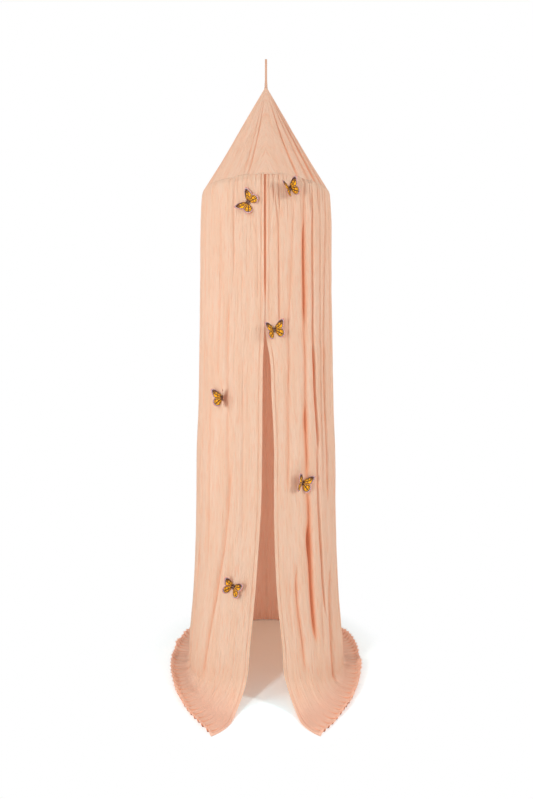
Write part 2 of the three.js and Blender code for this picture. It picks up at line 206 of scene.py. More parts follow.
def surface_normals(points: Grid) -> Grid:
    """Unit normals of a grid of points, to the side of columns crossed with rows."""
    normal = np.cross(np.gradient(points, axis=0), np.gradient(points, axis=1))
    return normal / np.maximum(np.linalg.norm(normal, axis=-1, keepdims=True), 1e-12)


def linked(name: str, data: bpy.types.ID) -> bpy.types.Object:
    """A new object in the scene, at the origin."""
    made = bpy.data.objects.new(name, data)
    bpy.context.scene.collection.objects.link(made)
    return made


def mesh_of(name: str, shape: bmesh.types.BMesh) -> bpy.types.Mesh:
    """Turns a shape into a mesh, and frees it.

    Args:
        name: The mesh's name.
        shape: The shape.

    Returns:
        The mesh.
    """
    mesh = bpy.data.meshes.new(name)
    shape.to_mesh(mesh)
    shape.free()
    return mesh


# The drapes' outer radius as shares of DRAPE_RADIUS, against shares of the fall.
RADIUS = Curve(
    ((0, 0.9714), (0.02, 0.985), (0.07, 0.998), (0.2, 1), (0.3, 1.008), (0.45, 1.027), (0.55, 1.055))
    + ((0.7, 1.065), (0.83, 1.1), (0.91, 1.143), (0.94, 1.165), (1, 1.18))
)
# How far each front edge is drawn from the slit, as shares of DRAPE_RADIUS against shares of the fall.
LEFT_PARTING = Curve(
    ((0.25, 0), (0.294, 0.008), (0.354, 0.027), (0.526, 0.037), (0.622, 0.05), (0.715, 0.088))
    + ((0.808, 0.139), (0.9, 0.204), (0.94, 0.227), (0.973, 0.267), (1, 0.312))
)
RIGHT_PARTING = Curve(
    ((0.25, 0), (0.294, 0.008), (0.354, 0.069), (0.409, 0.084), (0.526, 0.121), (0.622, 0.119))
    + ((0.715, 0.131), (0.808, 0.164), (0.9, 0.233), (0.94, 0.247), (0.973, 0.294), (1, 0.336))
)
# The wall's bend to the floor as shares of FLOOR_TURN, against degrees from the front.
WALL_TURN = Curve(((15, 2.9), (33, 2.0), (45, 1.35), (66, 0.7), (90, 0.4), (120, 0.35), (180, 0.35)))
# Where the train starts, as shares of FLOOR_TURN, and its width as shares of TRAIN_WIDTH, against degrees.
TURN_RADIUS = Curve(((20, 1), (45, 0.85), (66, 0.6), (90, 0.4), (120, 0.35), (180, 0.35)))
TRAIN = Curve(
    ((20.7, 2.74), (25.4, 2.42), (33, 1.93), (45, 1.45), (52, 1.25), (66, 0.99), (80, 0.94))
    + ((91, 0.96), (108, 1.2), (124, 1.42), (180, 1.57))
)
# How deep the folds are, as shares of their depth, against shares of the fall.
FOLD_GROWTH = Curve(((0, 0.3), (0.008, 0.5), (0.035, 0.75), (0.2, 0.9), (0.45, 1), (0.8, 1), (1, 0.9)))
# How far the cloth stands off the line of the solids, in millimetres, against shares of the fall.
STAND = Curve(((0, 3.6), (0.02, 3.2), (0.1, 2.8), (1, 2.8)))
# How far the cone's cloth bellies out, in millimetres, against shares of the way from its tip to its seam.
BELLY = Curve(((0, 0), (0.3, 0.2), (0.6, 0.6), (0.8, 1.6), (0.92, 2.6), (1, 3.0)))
# The height of the seam between the cone and the drapes, against degrees from the front.
SEAM_HEIGHT = Curve(
    ((-180, -0.528), (-90, -0.528), (-58, -0.527), (-32, -0.5245), (-18, -0.5186), (0, -0.517))
    + ((16, -0.516), (32, -0.524), (60, -0.533), (90, -0.532), (180, -0.528))
)


@dataclass(frozen=True)
class Fold:
    """A long fold: its line down the panel, its half width, its depth, and which flank is the steep one.

    The line is a curve of places across the panel against shares of the fall. The fold fades in and out at
    the line's ends, and a narrow crease takes its share of the depth.
    """

    line: Curve
    half_width: float
    depth: float
    steep_side: int
    fade: float = 0.06
    steepness: float = 2.4
    narrow_share: float = 0.24
    narrow_sharpness: float = 9

    def groove(self, across: Grid, share: Grid) -> Grid:
        """How far the cloth lies back in this fold.

        Args:
            across: Places across the panel, from 0 to 1.
            share: Places down the fall, from 0 to 1.

        Returns:
            Depths in metres, with a narrow crease at the bottom of the groove.
        """
        top, bottom = self.line.knots[0][0], self.line.knots[-1][0]
        alive = eased((share - top) / self.fade) * eased((bottom - share) / self.fade)
        half = self.half_width * (0.6 + 0.4 * eased(share / 0.15))
        off = (across - self.line.at(share)) / half
        off = np.where(off * self.steep_side > 0, off * self.steepness, off)
        narrow = self.narrow_share * np.exp(-self.narrow_sharpness * off * off)
        return self.depth * alive * ((1 - self.narrow_share) * bell(off) + narrow)


def folds(steep_side: int, *rows: tuple[float, float, tuple[tuple[float, float], ...]]) -> tuple[Fold, ...]:
    """Folds from rows of half width, depth in millimetres, and line."""
    return tuple(Fold(Curve(line), half, deep * MILLIMETRE, steep_side) for half, deep, line in rows)


class Wire:
    """A shader socket with arithmetic: an expression on wires adds its Math nodes."""

    def __init__(self, board: Board, socket: bpy.types.NodeSocket) -> None:
        """Wraps an output socket of a node on a board."""
        self.board = board
        self.socket = socket

    def math(self, operation: str, *others: Wire | float) -> Wire:
        """Adds a Math node whose first value is this wire."""
        return self.board.maths(operation, self, *others)

    def __add__(self, other: Wire | float) -> Wire:
        """This wire plus another."""
        return self.math("ADD", other)

    __radd__ = __add__

    def __sub__(self, other: Wire | float) -> Wire:
        """This wire less another."""
        return self.math("SUBTRACT", other)

    def __rsub__(self, other: float) -> Wire:
        """A number less this wire."""
        return self.board.maths("SUBTRACT", other, self)

    def __mul__(self, other: Wire | float) -> Wire:
        """This wire times another."""
        return self.math("MULTIPLY", other)

    __rmul__ = __mul__

    def __truediv__(self, other: float) -> Wire:
        """This wire over a number."""
        return self.math("DIVIDE", other)

    def between(self, low: float, high: float) -> Wire:
        """Eases from 0 to 1 between two values.

        Args:
            low: Where it is 0, and past it.
            high: Where it is 1, and past it. It may be the lower of the two.

        Returns:
            The eased share.
        """
        settings = {"interpolation_type": "SMOOTHSTEP"}
        sockets = {"Value": self, "From Min": low, "From Max": high}
        return self.board.node("ShaderNodeMapRange", settings, sockets)["Result"]


class Sockets:
    """A node's outputs by name, as wires."""

    def __init__(self, board: Board, node: bpy.types.Node) -> None:
        """Wraps a node of a board."""
        self.board = board
        self.node = node

    def __getitem__(self, name: str | int) -> Wire:
        """The wire at an output's name or number."""
        return Wire(self.board, self.node.outputs[name])


class Board:
    """The node board of a material or of the world."""

    def __init__(self, owner: bpy.types.Material | bpy.types.World) -> None:
        """Empties the owner's board."""
        self.owner = owner
        self.tree = owner.node_tree
        self.tree.nodes.clear()

    @classmethod
    def of_material(cls, name: str) -> Board:
        """Makes a material with an empty board."""
        material = bpy.data.materials.new(name)
        material.use_nodes = True
        return cls(material)

    def node(
        self,
        kind: str,
        settings: dict[str, object] | None = None,
        sockets: dict[str | int, object] | None = None,
    ) -> Sockets:
        """Adds a node.

        Args:
            kind: The node's type.
            settings: Its own settings, which are set first.
            sockets: Values or wires for its inputs, by name or number.

        Returns:
            The node's outputs.
        """
        made = self.tree.nodes.new(kind)
        for key, value in (settings or {}).items():
            setattr(made, key, value)
        for key, value in (sockets or {}).items():
            if isinstance(value, Wire):
                self.tree.links.new(value.socket, made.inputs[key])
            else:
                made.inputs[key].default_value = value
        return Sockets(self, made)

    def maths(self, operation: str, *values: Wire | float) -> Wire:
        """Adds a Math node on wires and numbers."""
        return self.node("ShaderNodeMath", {"operation": operation}, dict(enumerate(values)))[0]

    def mix(self, share: Wire | float, first: Wire | Colour, second: Wire | Colour) -> Wire:
        """Mixes two colours: the first at share 0 and the second at share 1."""
        sockets = {0: share, 6: self._colour(first), 7: self._colour(second)}
        return self.node("ShaderNodeMix", {"data_type": "RGBA"}, sockets)[2]

    def _colour(self, value: Wire | Colour) -> object:
        """A wire as it is, and a colour with an alpha of 1."""
        return value if isinstance(value, Wire) else (*value, 1)

    def mark(self, name: str) -> Wire:
        """A value that the piece carries at its points."""
        return self.node("ShaderNodeAttribute", {"attribute_name": name})["Fac"]

    def object_place(self) -> Wire:
        """The place in the piece's own coordinates."""
        return self.node("ShaderNodeTexCoord")["Object"]

    def cloth_place(self, across: float, along: float) -> Wire:
        """The place on the cloth from its own map, in metres, times a scale across and along."""
        uv = self.node("ShaderNodeUVMap", {"uv_map": "cloth"})["UV"]
        return self.node("ShaderNodeMapping", None, {"Vector": uv, "Scale": (across, along, 1)})["Vector"]

    def noise(self, place: Wire, detail: float, roughness: float, scale: float = 1.0) -> Wire:
        """Noise from 0 to 1 over a place."""
        sockets = {"Vector": place, "Scale": scale, "Detail": detail, "Roughness": roughness}
        return self.node("ShaderNodeTexNoise", None, sockets)[0]

    def grain(self, size: tuple[float, float], detail: float, roughness: float) -> Wire:
        """Noise over the cloth, from the size of its grains across and along it, in metres."""
        return self.noise(self.cloth_place(1 / size[0], 1 / size[1]), detail, roughness)

    def bands(self, place: Wire, direction: str, scale: float, distortion: float) -> Wire:
        """Woven bands from 0 to 1 over a place."""
        settings = {"wave_type": "BANDS", "bands_direction": direction}
        sockets = {"Vector": place, "Scale": scale, "Distortion": distortion, "Detail": 1.0}
        return self.node("ShaderNodeTexWave", settings, sockets)["Fac"]

    def bump(self, height: Wire, distance: float, strength: float = 1.0) -> Wire:
        """A normal that follows a height."""
        sockets = {"Height": height, "Distance": distance, "Strength": strength}
        return self.node("ShaderNodeBump", None, sockets)["Normal"]

    def surface(
        self, colour: Wire, roughness: Wire | float, normal: Wire, more: dict[str, object] | None = None
    ) -> Wire:
        """A surface with a base colour, a roughness, a normal and values for more of its sockets."""
        sockets = {"Base Color": colour, "Roughness": roughness, "Normal": normal, **(more or {})}
        return self.node("ShaderNodeBsdfPrincipled", None, sockets)[0]

    def mixed(self, share: Wire | float, first: Wire, second: Wire) -> Wire:
        """Mixes two shaders: the first at share 0 and the second at share 1."""
        return self.node("ShaderNodeMixShader", None, {0: share, 1: first, 2: second})[0]

    def finish(self, shader: Wire) -> bpy.types.Material:
        """Joins a shader to the material's output."""
        self.node("ShaderNodeOutputMaterial", None, {"Surface": shader})
        return self.owner


@dataclass(frozen=True)
class GauzeFinish:
    """Crinkled double gauze: irregular crinkles along the cloth, a few dye streaks, painted shade, and
    light through it.

    The crinkles, streaks and slubs have their sizes across and along the cloth, and their heights as shares
    of the relief.
    """

    name: str = "gauze"
    colour: Colour = (0.935, 0.785, 0.60)
    # deep is painted shade: the colour that folds, creases, gathers, the slit and stitched lines are
    # darkened towards.
    deep: Colour = (0.92, 0.47, 0.26)
    pale: Colour = (0.955, 0.84, 0.67)
    shade: Colour = (0.46, 0.20, 0.13)
    # rosy is a painted tint: the darker, pinker colour of the light bounced under and through the cloth
    # where it lies on the floor.
    rosy: Colour = (0.955, 0.69, 0.56)
    through: Colour = (1.0, 0.725, 0.63)
    see_through: float = 0.44
    crinkle: tuple[float, float] = (0.0052, 0.06)
    streak: tuple[float, float] = (0.021, 0.3)
    slub: tuple[float, float] = (0.0016, 0.011)
    streak_height: float = 0.7
    slub_height: float = 0.12
    thread_height: float = 0.05
    relief: float = 0.0036

    def material(self) -> bpy.types.Material:
        """Builds the material.

        Returns:
            A mix of matt cloth and light that passes through it.
        """
        board = Board.of_material(self.name)
        creases = board.grain(self.crinkle, 3, 0.6)
        wide = board.grain(self.streak, 2, 0.5)
        slubs = board.grain(self.slub, 1, 0.5)
        threads = board.bands(board.cloth_place(1000, 40), "X", 0.12, 1.5)
        valley = board.mark("valley")
        streaked = board.mix(wide.between(0.35, 0.7), self.colour, self.pale)
        # Painted shade: the crinkles' hollows, where the bump height is low, are darkened towards deep.
        creased = board.mix(creases.between(0.54, 0.26) * 0.42, streaked, self.deep)
        # Painted light: cloth that lies on the floor takes the rosy tint of the light bounced under and
        # through it.
        rosed = board.mix(board.mark("lying") * 0.6, creased, self.rosy)
        # Painted shade: where the pieces mark folds, creases, gathers, the slit, stitched lines and the
        # frill's pinches, the colour is darkened towards deep, and the darkest of them towards shade.
        folded = board.mix(valley.between(0.05, 1.0) * 0.92, rosed, self.deep)
        shaded = board.mix(valley.between(1.0, 2.0) * 0.85, folded, self.shade)
        height = creases + wide * self.streak_height + slubs * self.slub_height
        normal = board.bump(height + threads * self.thread_height, self.relief)
        sheen = {"Sheen Weight": 0.06, "Sheen Roughness": 0.6, "Sheen Tint": (1.0, 0.86, 0.76, 1)}
        face = board.surface(shaded, 0.94, normal, {"Specular IOR Level": 0.12, **sheen})
        sockets = {"Color": (*self.through, 1), "Normal": normal}
        glow = board.node("ShaderNodeBsdfTranslucent", None, sockets)[0]
        return board.finish(board.mixed(self.see_through, face, glow))


@dataclass(frozen=True)
class TapeFinish:
    """Woven tape: a fine twill, mottled along its length."""

    name: str
    colour: Colour
    shade: Colour
    mottle: tuple[float, float] = (0.004, 0.02)
    relief: float = 0.0003

    def material(self) -> bpy.types.Material:
        """Builds the material.

        Returns:
            A matt woven cloth.
        """
        board = Board.of_material(self.name)
        twill = board.bands(board.cloth_place(1, 1), "DIAGONAL", 260.0, 0.6)
        mottle = board.grain(self.mottle, 2, 0.5)
        colour = board.mix(mottle.between(0.3, 0.7) * 0.5, self.colour, self.shade)
        woven = board.mix(twill * 0.25, colour, self.shade)
        normal = board.bump(twill + mottle * 0.6, self.relief)
        return board.finish(board.surface(woven, 0.88, normal, {"Specular IOR Level": 0.2}))


@dataclass(frozen=True)
class PlasticFinish:
    """Moulded plastic with a faint orange-peel surface and drawn scuffs."""

    name: str
    colour: Colour
    scuff: Colour
    roughness: float
    peel_scale: float = 900.0
    scuff_scale: float = 60.0
    relief: float = 0.0002

    def material(self) -> bpy.types.Material:
        """Builds the material.

        Returns:
            A satin plastic.
        """
        board = Board.of_material(self.name)
        place = board.object_place()
        peel = board.noise(place, 2, 0.5, self.peel_scale)
        scuffs = board.noise(place, 3, 0.6, self.scuff_scale)
        colour = board.mix(scuffs.between(0.55, 0.75) * 0.6, self.colour, self.scuff)
        normal = board.bump(peel, self.relief, 0.4)
        return board.finish(board.surface(colour, scuffs * 0.2 + self.roughness, normal))


@dataclass(frozen=True)
class WingFinish:
    """Printed wing cloth.

    Its map runs from the front edge round to the back edge, and from the body out to the rim. The places of
    the dark arc and line are shares of the way out.
    """

    name: str
    bright: Colour
    warm: Colour
    vein: Colour
    rim: Colour
    piping: Colour
    veins: float = 5.5
    beads: float = 13
    arc_place: float = 0.70
    line_place: float = 0.84
    relief: float = 0.0003

    def material(self) -> bpy.types.Material:
        """Builds the material.

        Returns:
            Bright cells between dark veins, a dark tip to the fore lobe, a spotted margin and a sheer rim.
        """
        board = Board.of_material(self.name)
        uv = board.node("ShaderNodeUVMap", {"uv_map": "cloth"})["UV"]
        parts = board.node("ShaderNodeSeparateXYZ", None, {0: uv})
        around, out = parts["X"], parts["Y"]
        lobe = board.mark("lobe")
        fleck = board.noise(board.cloth_place(13, 9), 2, 0.6)
        spots = board.noise(board.cloth_place(34, 16), 1, 0.5)
        drawn = self._veins(around + (fleck - 0.5) * 0.05, out + (spots - 0.5) * 0.05)
        cells = board.mix(fleck.between(0.35, 0.7), self.bright, self.warm)
        inked = board.mix(drawn, cells, self.vein)
        tip = (around - 0.27).math("ABSOLUTE").between(0.30, 0.20) * out.between(0.5, 0.62) * (1 - lobe)
        left_bright = spots.between(0.60, 0.66) * 0.85
        dark = board.mix(tip * (1 - left_bright), inked, self.vein)
        arc = (out - self.arc_place).math("ABSOLUTE").between(0.040, 0.022) * lobe
        line = (out - self.line_place).math("ABSOLUTE").between(0.042, 0.026)
        margin = board.mix(arc.math("MAXIMUM", line), dark, self.vein)
        sheer = board.mix(out.between(0.86, 0.88), margin, self.rim)
        dots = (around * self.beads).math("PINGPONG", 0.5).between(0.22, 0.12)
        beaded = board.mix(dots * out.between(0.88, 0.90) * 0.5, sheer, self.vein)
        edge = board.mix(out.between(0.94, 0.956), beaded, self.piping)
        weave = board.noise(board.cloth_place(160, 120), 1, 0.5)
        normal = board.bump(drawn * -0.5 + weave * 0.4, self.relief)
        return board.finish(board.surface(edge, 0.7, normal, {"Specular IOR Level": 0.25}))

    def _veins(self, around: Wire, out: Wire) -> Wire:
        """Where the veins are drawn.

        Args:
            around: Shares of the way round the lobe.
            out: Shares of the way out from the body.

        Returns:
            1 on a fan from the body, on a cell across its middle and at the dark root, and 0 between them.
        """
        girth = out * 2.2 + 0.12
        fan = (around * self.veins).math("PINGPONG", 0.5) / self.veins
        ribs = (fan * girth).between(0.047, 0.026)
        across = (around - 0.5).math("ABSOLUTE")
        from_cell = (out - across * 0.5 - 0.40).math("ABSOLUTE")
        cell = from_cell.between(0.044, 0.022) * across.between(0.36, 0.30)
        return ribs.math("MAXIMUM", cell).math("MAXIMUM", out.between(0.17, 0.09))


@dataclass(frozen=True)
class ThreadFinish:
    """Dark thread wound round a body."""

    name: str = "wound_thread"
    colour: Colour = (0.035, 0.018, 0.012)
    shade: Colour = (0.11, 0.055, 0.03)
    scale: float = 1400.0
    relief: float = 0.0003

    def material(self) -> bpy.types.Material:
        """Builds the material.

        Returns:
            A matt, banded thread.
        """
        board = Board.of_material(self.name)
        wound = board.noise(board.object_place(), 2, 0.6, self.scale)
        colour = board.mix(wound.between(0.35, 0.7), self.colour, self.shade)
        return board.finish(board.surface(colour, 0.75, board.bump(wound, self.relief)))


@dataclass
class Maker:
    """Turns grids of points into pieces, and dresses them."""

    made: list[str] = field(default_factory=list)

    def grid_mesh(
        self,
        name: str,
        points: Grid,
        places: Grid,
        marks: dict[str, Grid] | None = None,
        closed: bool = False,
    ) -> bpy.types.Object:
        """Drapes a flat grid over rows and columns of points.

        Args:
            name: The piece's name.
            points: Rows by columns of points, from the top row down.
            places: The same rows by columns of places on the cloth, for its own map.
            marks: Values at the points, by attribute name.
            closed: Whether the last column meets the first.

        Returns:
            The piece, at the origin.
        """
        rows, columns = points.shape[:2]
        shape = bmesh.new()
        bmesh.ops.create_grid(shape, x_segments=columns - 1, y_segments=rows - 1, size=0.5)
        mesh = mesh_of(name, shape)
        flat = np.empty(len(mesh.vertices) * 3)
        mesh.vertices.foreach_get("co", flat)
        flat = flat.reshape(-1, 3)
        column = np.rint((flat[:, 0] + 0.5) * (columns - 1)).astype(int)
        row = np.rint((0.5 - flat[:, 1]) * (rows - 1)).astype(int)
        mesh.vertices.foreach_set("co", points[row, column].ravel())
        corner = np.empty(len(mesh.loops), int)
        mesh.loops.foreach_get("vertex_index", corner)
        uv = mesh.uv_layers.new(name="cloth")
        uv.data.foreach_set("uv", places[row, column][corner].ravel())
        for key, values in (marks or {}).items():
            mark = mesh.attributes.new(key, "FLOAT", "POINT")
            mark.data.foreach_set("value", values[row, column].astype(np.float32))
        if closed:
            shape = bmesh.new()
            shape.from_mesh(mesh)
            bmesh.ops.remove_doubles(shape, verts=shape.verts, dist=1e-6)
            shape.to_mesh(mesh)
            shape.free()
        mesh.shade_smooth()
        return linked(name, mesh)

    def thicken(self, piece: bpy.types.Object, thickness: float = GAUZE_THICKNESS, under: int = 0) -> None:
        """Gives a sheet its thickness, inwards from the face it was made with.

        Args:
            piece: The sheet.
            thickness: Its thickness in metres.
            under: How many material slots further on its inner face finds its material.
        """
        wall = piece.modifiers.new("thickness", "SOLIDIFY")
        wall.thickness = thickness
        wall.offset = -1
        wall.use_rim = True
        wall.material_offset = under

    def dress(self, piece: bpy.types.Object, slot: str, *finishes: bpy.types.Material) -> None:
        """Gives a piece its materials, and reports it with the record's slot.

        Args:
            piece: The piece.
            slot: The name of its slot in the record.
            finishes: Its materials, the outer face's first.
        """
        for finish in finishes:
            piece.data.materials.append(finish)
        self.made.append(piece.name)
        log.info("%s: %d faces, slot %s", piece.name, len(piece.data.polygons), slot)


@dataclass(frozen=True)
class Crease:
    """A crease down the cone.

    Its places at the tip and at the seam are in degrees from the front, its half width is in degrees, and
    its depth is in millimetres.
    """

    at_tip: float
    at_seam: float
    half: float
    depth: float


@dataclass
class Cone:
    """The cone of four gores, one continuous sheet over the hoop's shoulder, with creases from its tip."""

    maker: Maker
    gauze: bpy.types.Material
    columns: int = 480
    rows: int = 84
    neck_share: float = 0.025
    tip_radius: float = 0.0046
    seam_pitch: float = 4.8
    scallop: float = 0.0008
    darkest_crease: float = 0.0055
    gore_seam: float = 0.0008
    crinkle: float = 0.0005
    swell: float = 0.0013
    pucker: float = 0.0012
    edge_roll: float = 0.0004
    stitch_depth: float = 0.0009
    stitch_line: float = 0.0095
    creases: tuple[Crease, ...] = (
        Crease(-17.0, -19.5, 1.2, 2.6),
        Crease(-8.5, -15.5, 1.3, 3.6),
        Crease(-34, -40, 5, 1.4),
        Crease(-60, -64, 7, 2.0),
        Crease(10, 12, 2.6, 1.3),
        Crease(20, 29.5, 1.7, 4.6),
        Crease(36, 41, 2.6, 3.4),
        Crease(50, 50, 2.6, 6.5),
        Crease(60, 61, 2.2, 6.0),
        Crease(71, 73, 3.6, 7.0),
        Crease(-86, -86, 6, 2.2),
        Crease(104, 104, 5, 3.0),
        Crease(128, 130, 6, 2.6),
        Crease(155, 153, 6, 3.0),
        Crease(-108, -107, 6, 2.6),
        Crease(-131, -134, 5, 2.4),
        Crease(-158, -156, 6, 3.0),
    )

    def build(self) -> bpy.types.Object:
        """Builds the sheet.

        Returns:
            The cone, riding on the canopy.
        """
        angle = np.linspace(-math.pi, math.pi, self.columns + 1)[None, :]
        down = Curve(((0, 0), (0.05, self.neck_share), (0.8, 0.89), (1, 1))).at(shares(self.rows))
        turns = np.degrees(angle)
        seam = SEAM_HEIGHT.at(turns) + self._scallop(turns)
        below = np.clip((down - self.neck_share) / (1 - self.neck_share), 0, 1)
        at_neck = np.clip(down / self.neck_share, 0, 1)
        height = TIP_Z + (NECK_Z - TIP_Z) * at_neck + (seam - NECK_Z) * below
        wall = CLOTH / math.cos(CONE_LEAN)
        slant = TIP_BORE + (NECK_Z - height) * CONE_SPREAD + wall + BELLY.at(down) * MILLIMETRE
        neck = self.tip_radius + (TIP_BORE + wall - self.tip_radius) * at_neck
        points = ring_point(np.where(down < self.neck_share, neck, slant), angle, height)
        creased = self._crease_depth(turns, down)
        points = points + surface_normals(points) * (self._relief(turns, down) - creased)[..., None]
        points[:, -1] = points[:, 0]
        # Painted shade: the creases are marked by their depth for the gauze to darken them.
        marks = {"valley": np.clip(creased / self.darkest_crease, 0, 1)}
        piece = self.maker.grid_mesh("cone", points, self._flat_places(angle, height), marks, closed=True)
        self.maker.thicken(piece)
        self.maker.dress(piece, "cloth", self.gauze)
        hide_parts("front_left_gore", "front_right_gore", "back_left_gore", "back_right_gore")
        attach(piece, "canopy")
        return piece

    def _scallop(self, turns: Grid) -> Grid:
        """How the seam rises and dips between its gathers, in metres."""
        drift = wander(34, (turns + 180) / 9, 0)
        return self.scallop * np.cos(2 * math.pi * turns / self.seam_pitch + 2.2 * drift)

    def _crease_depth(self, turns: Grid, down: Grid) -> Grid:
        """How far the cloth lies back in its creases.

        Args:
            turns: Degrees from the front.
            down: Shares of the way from the tip to the seam.

        Returns:
            Depths in metres.
        """
        depth = np.zeros(np.broadcast(turns, down).shape)
        for crease in self.creases:
            middle = crease.at_tip + (crease.at_seam - crease.at_tip) * down
            off = (turns - middle) / crease.half
            off = np.where(off < 0, off, off * 1.6)
            grown = eased(down * 2.2) * (1 - 0.35 * eased((down - 0.9) / 0.1))
            depth += crease.depth * MILLIMETRE * bell(off) * grown
        return depth

    def _relief(self, turns: Grid, down: Grid) -> Grid:
        """How far the cloth stands off the plain cone with its seams, crinkles and stitched edge.

        Args:
            turns: Degrees from the front.
            down: Shares of the way from the tip to the seam.

        Returns:
            Heights in metres, before the creases are taken off.
        """
        around = turns + 180
        beside = np.radians(np.abs((around + 45) % 90 - 45)) * np.maximum(down, 0.02) * HOOP_RADIUS
        seam = self.gore_seam * bell(beside / 0.006) - 0.0002 * bell(beside / 0.0016)
        grow = eased(down * 5)
        crinkle = wander(31, around * 0.42, down * 14) * self.crinkle
        swell = wander(32, around / 17, down * 3) * self.swell
        puckers = wander(33, around * 0.5, down * 2) * eased((down - 0.93) / 0.07) * self.pucker
        from_edge = (1 - down) * (SHOULDER_RADIUS / math.sin(CONE_LEAN))
        edge = self.edge_roll * bell(from_edge / 0.0045)
        stitches = self.stitch_depth * bell((from_edge - self.stitch_line) / 0.0026)
        return seam * grow + (crinkle + swell) * grow + puckers + edge - stitches

    def _flat_places(self, angle: Grid, height: Grid) -> Grid:
        """Each gore's places as it was cut, turned over at every seam.

        Args:
            angle: Angles from the front.
            height: Heights of the plain cone.

        Returns:
            Places in metres, with the grain down the gore's middle.
        """
        turns = np.degrees(angle) + 180
        from_middle = np.radians(turns % 90 - 45) * math.sin(CONE_LEAN)
        slant = (NECK_Z - height) / math.cos(CONE_LEAN) + TIP_LENGTH
        mirrored = 1 - 2 * (np.floor(np.clip(turns, 0, 359.99) / 90) % 2)
        return stacked(slant * np.sin(from_middle) * mirrored, slant * np.cos(from_middle))


@dataclass(frozen=True)
class Lay:
    """How a drape lies before its relief: its points, and what each one's place is.

    Across and share are places across the drape and down the fall, flat is how far the cloth has turned
    flat, and lying is the place out along the train. All four run from 0 to 1.
    """

    base: Grid
    across: Grid
    share: Grid
    flat: Grid
    lying: Grid

    @property
    def length(self) -> Grid:
        """Distances down the cloth from its top, in metres."""
        return distances(self.base)

    @property
    def first(self) -> Grid:
        """Distances along the cloth from its first edge, in metres."""
        return distances(self.base, axis=1)

    @property
    def last(self) -> Grid:
        """Distances along the cloth from its last edge, in metres."""
        return self.first[:, -1:] - self.first


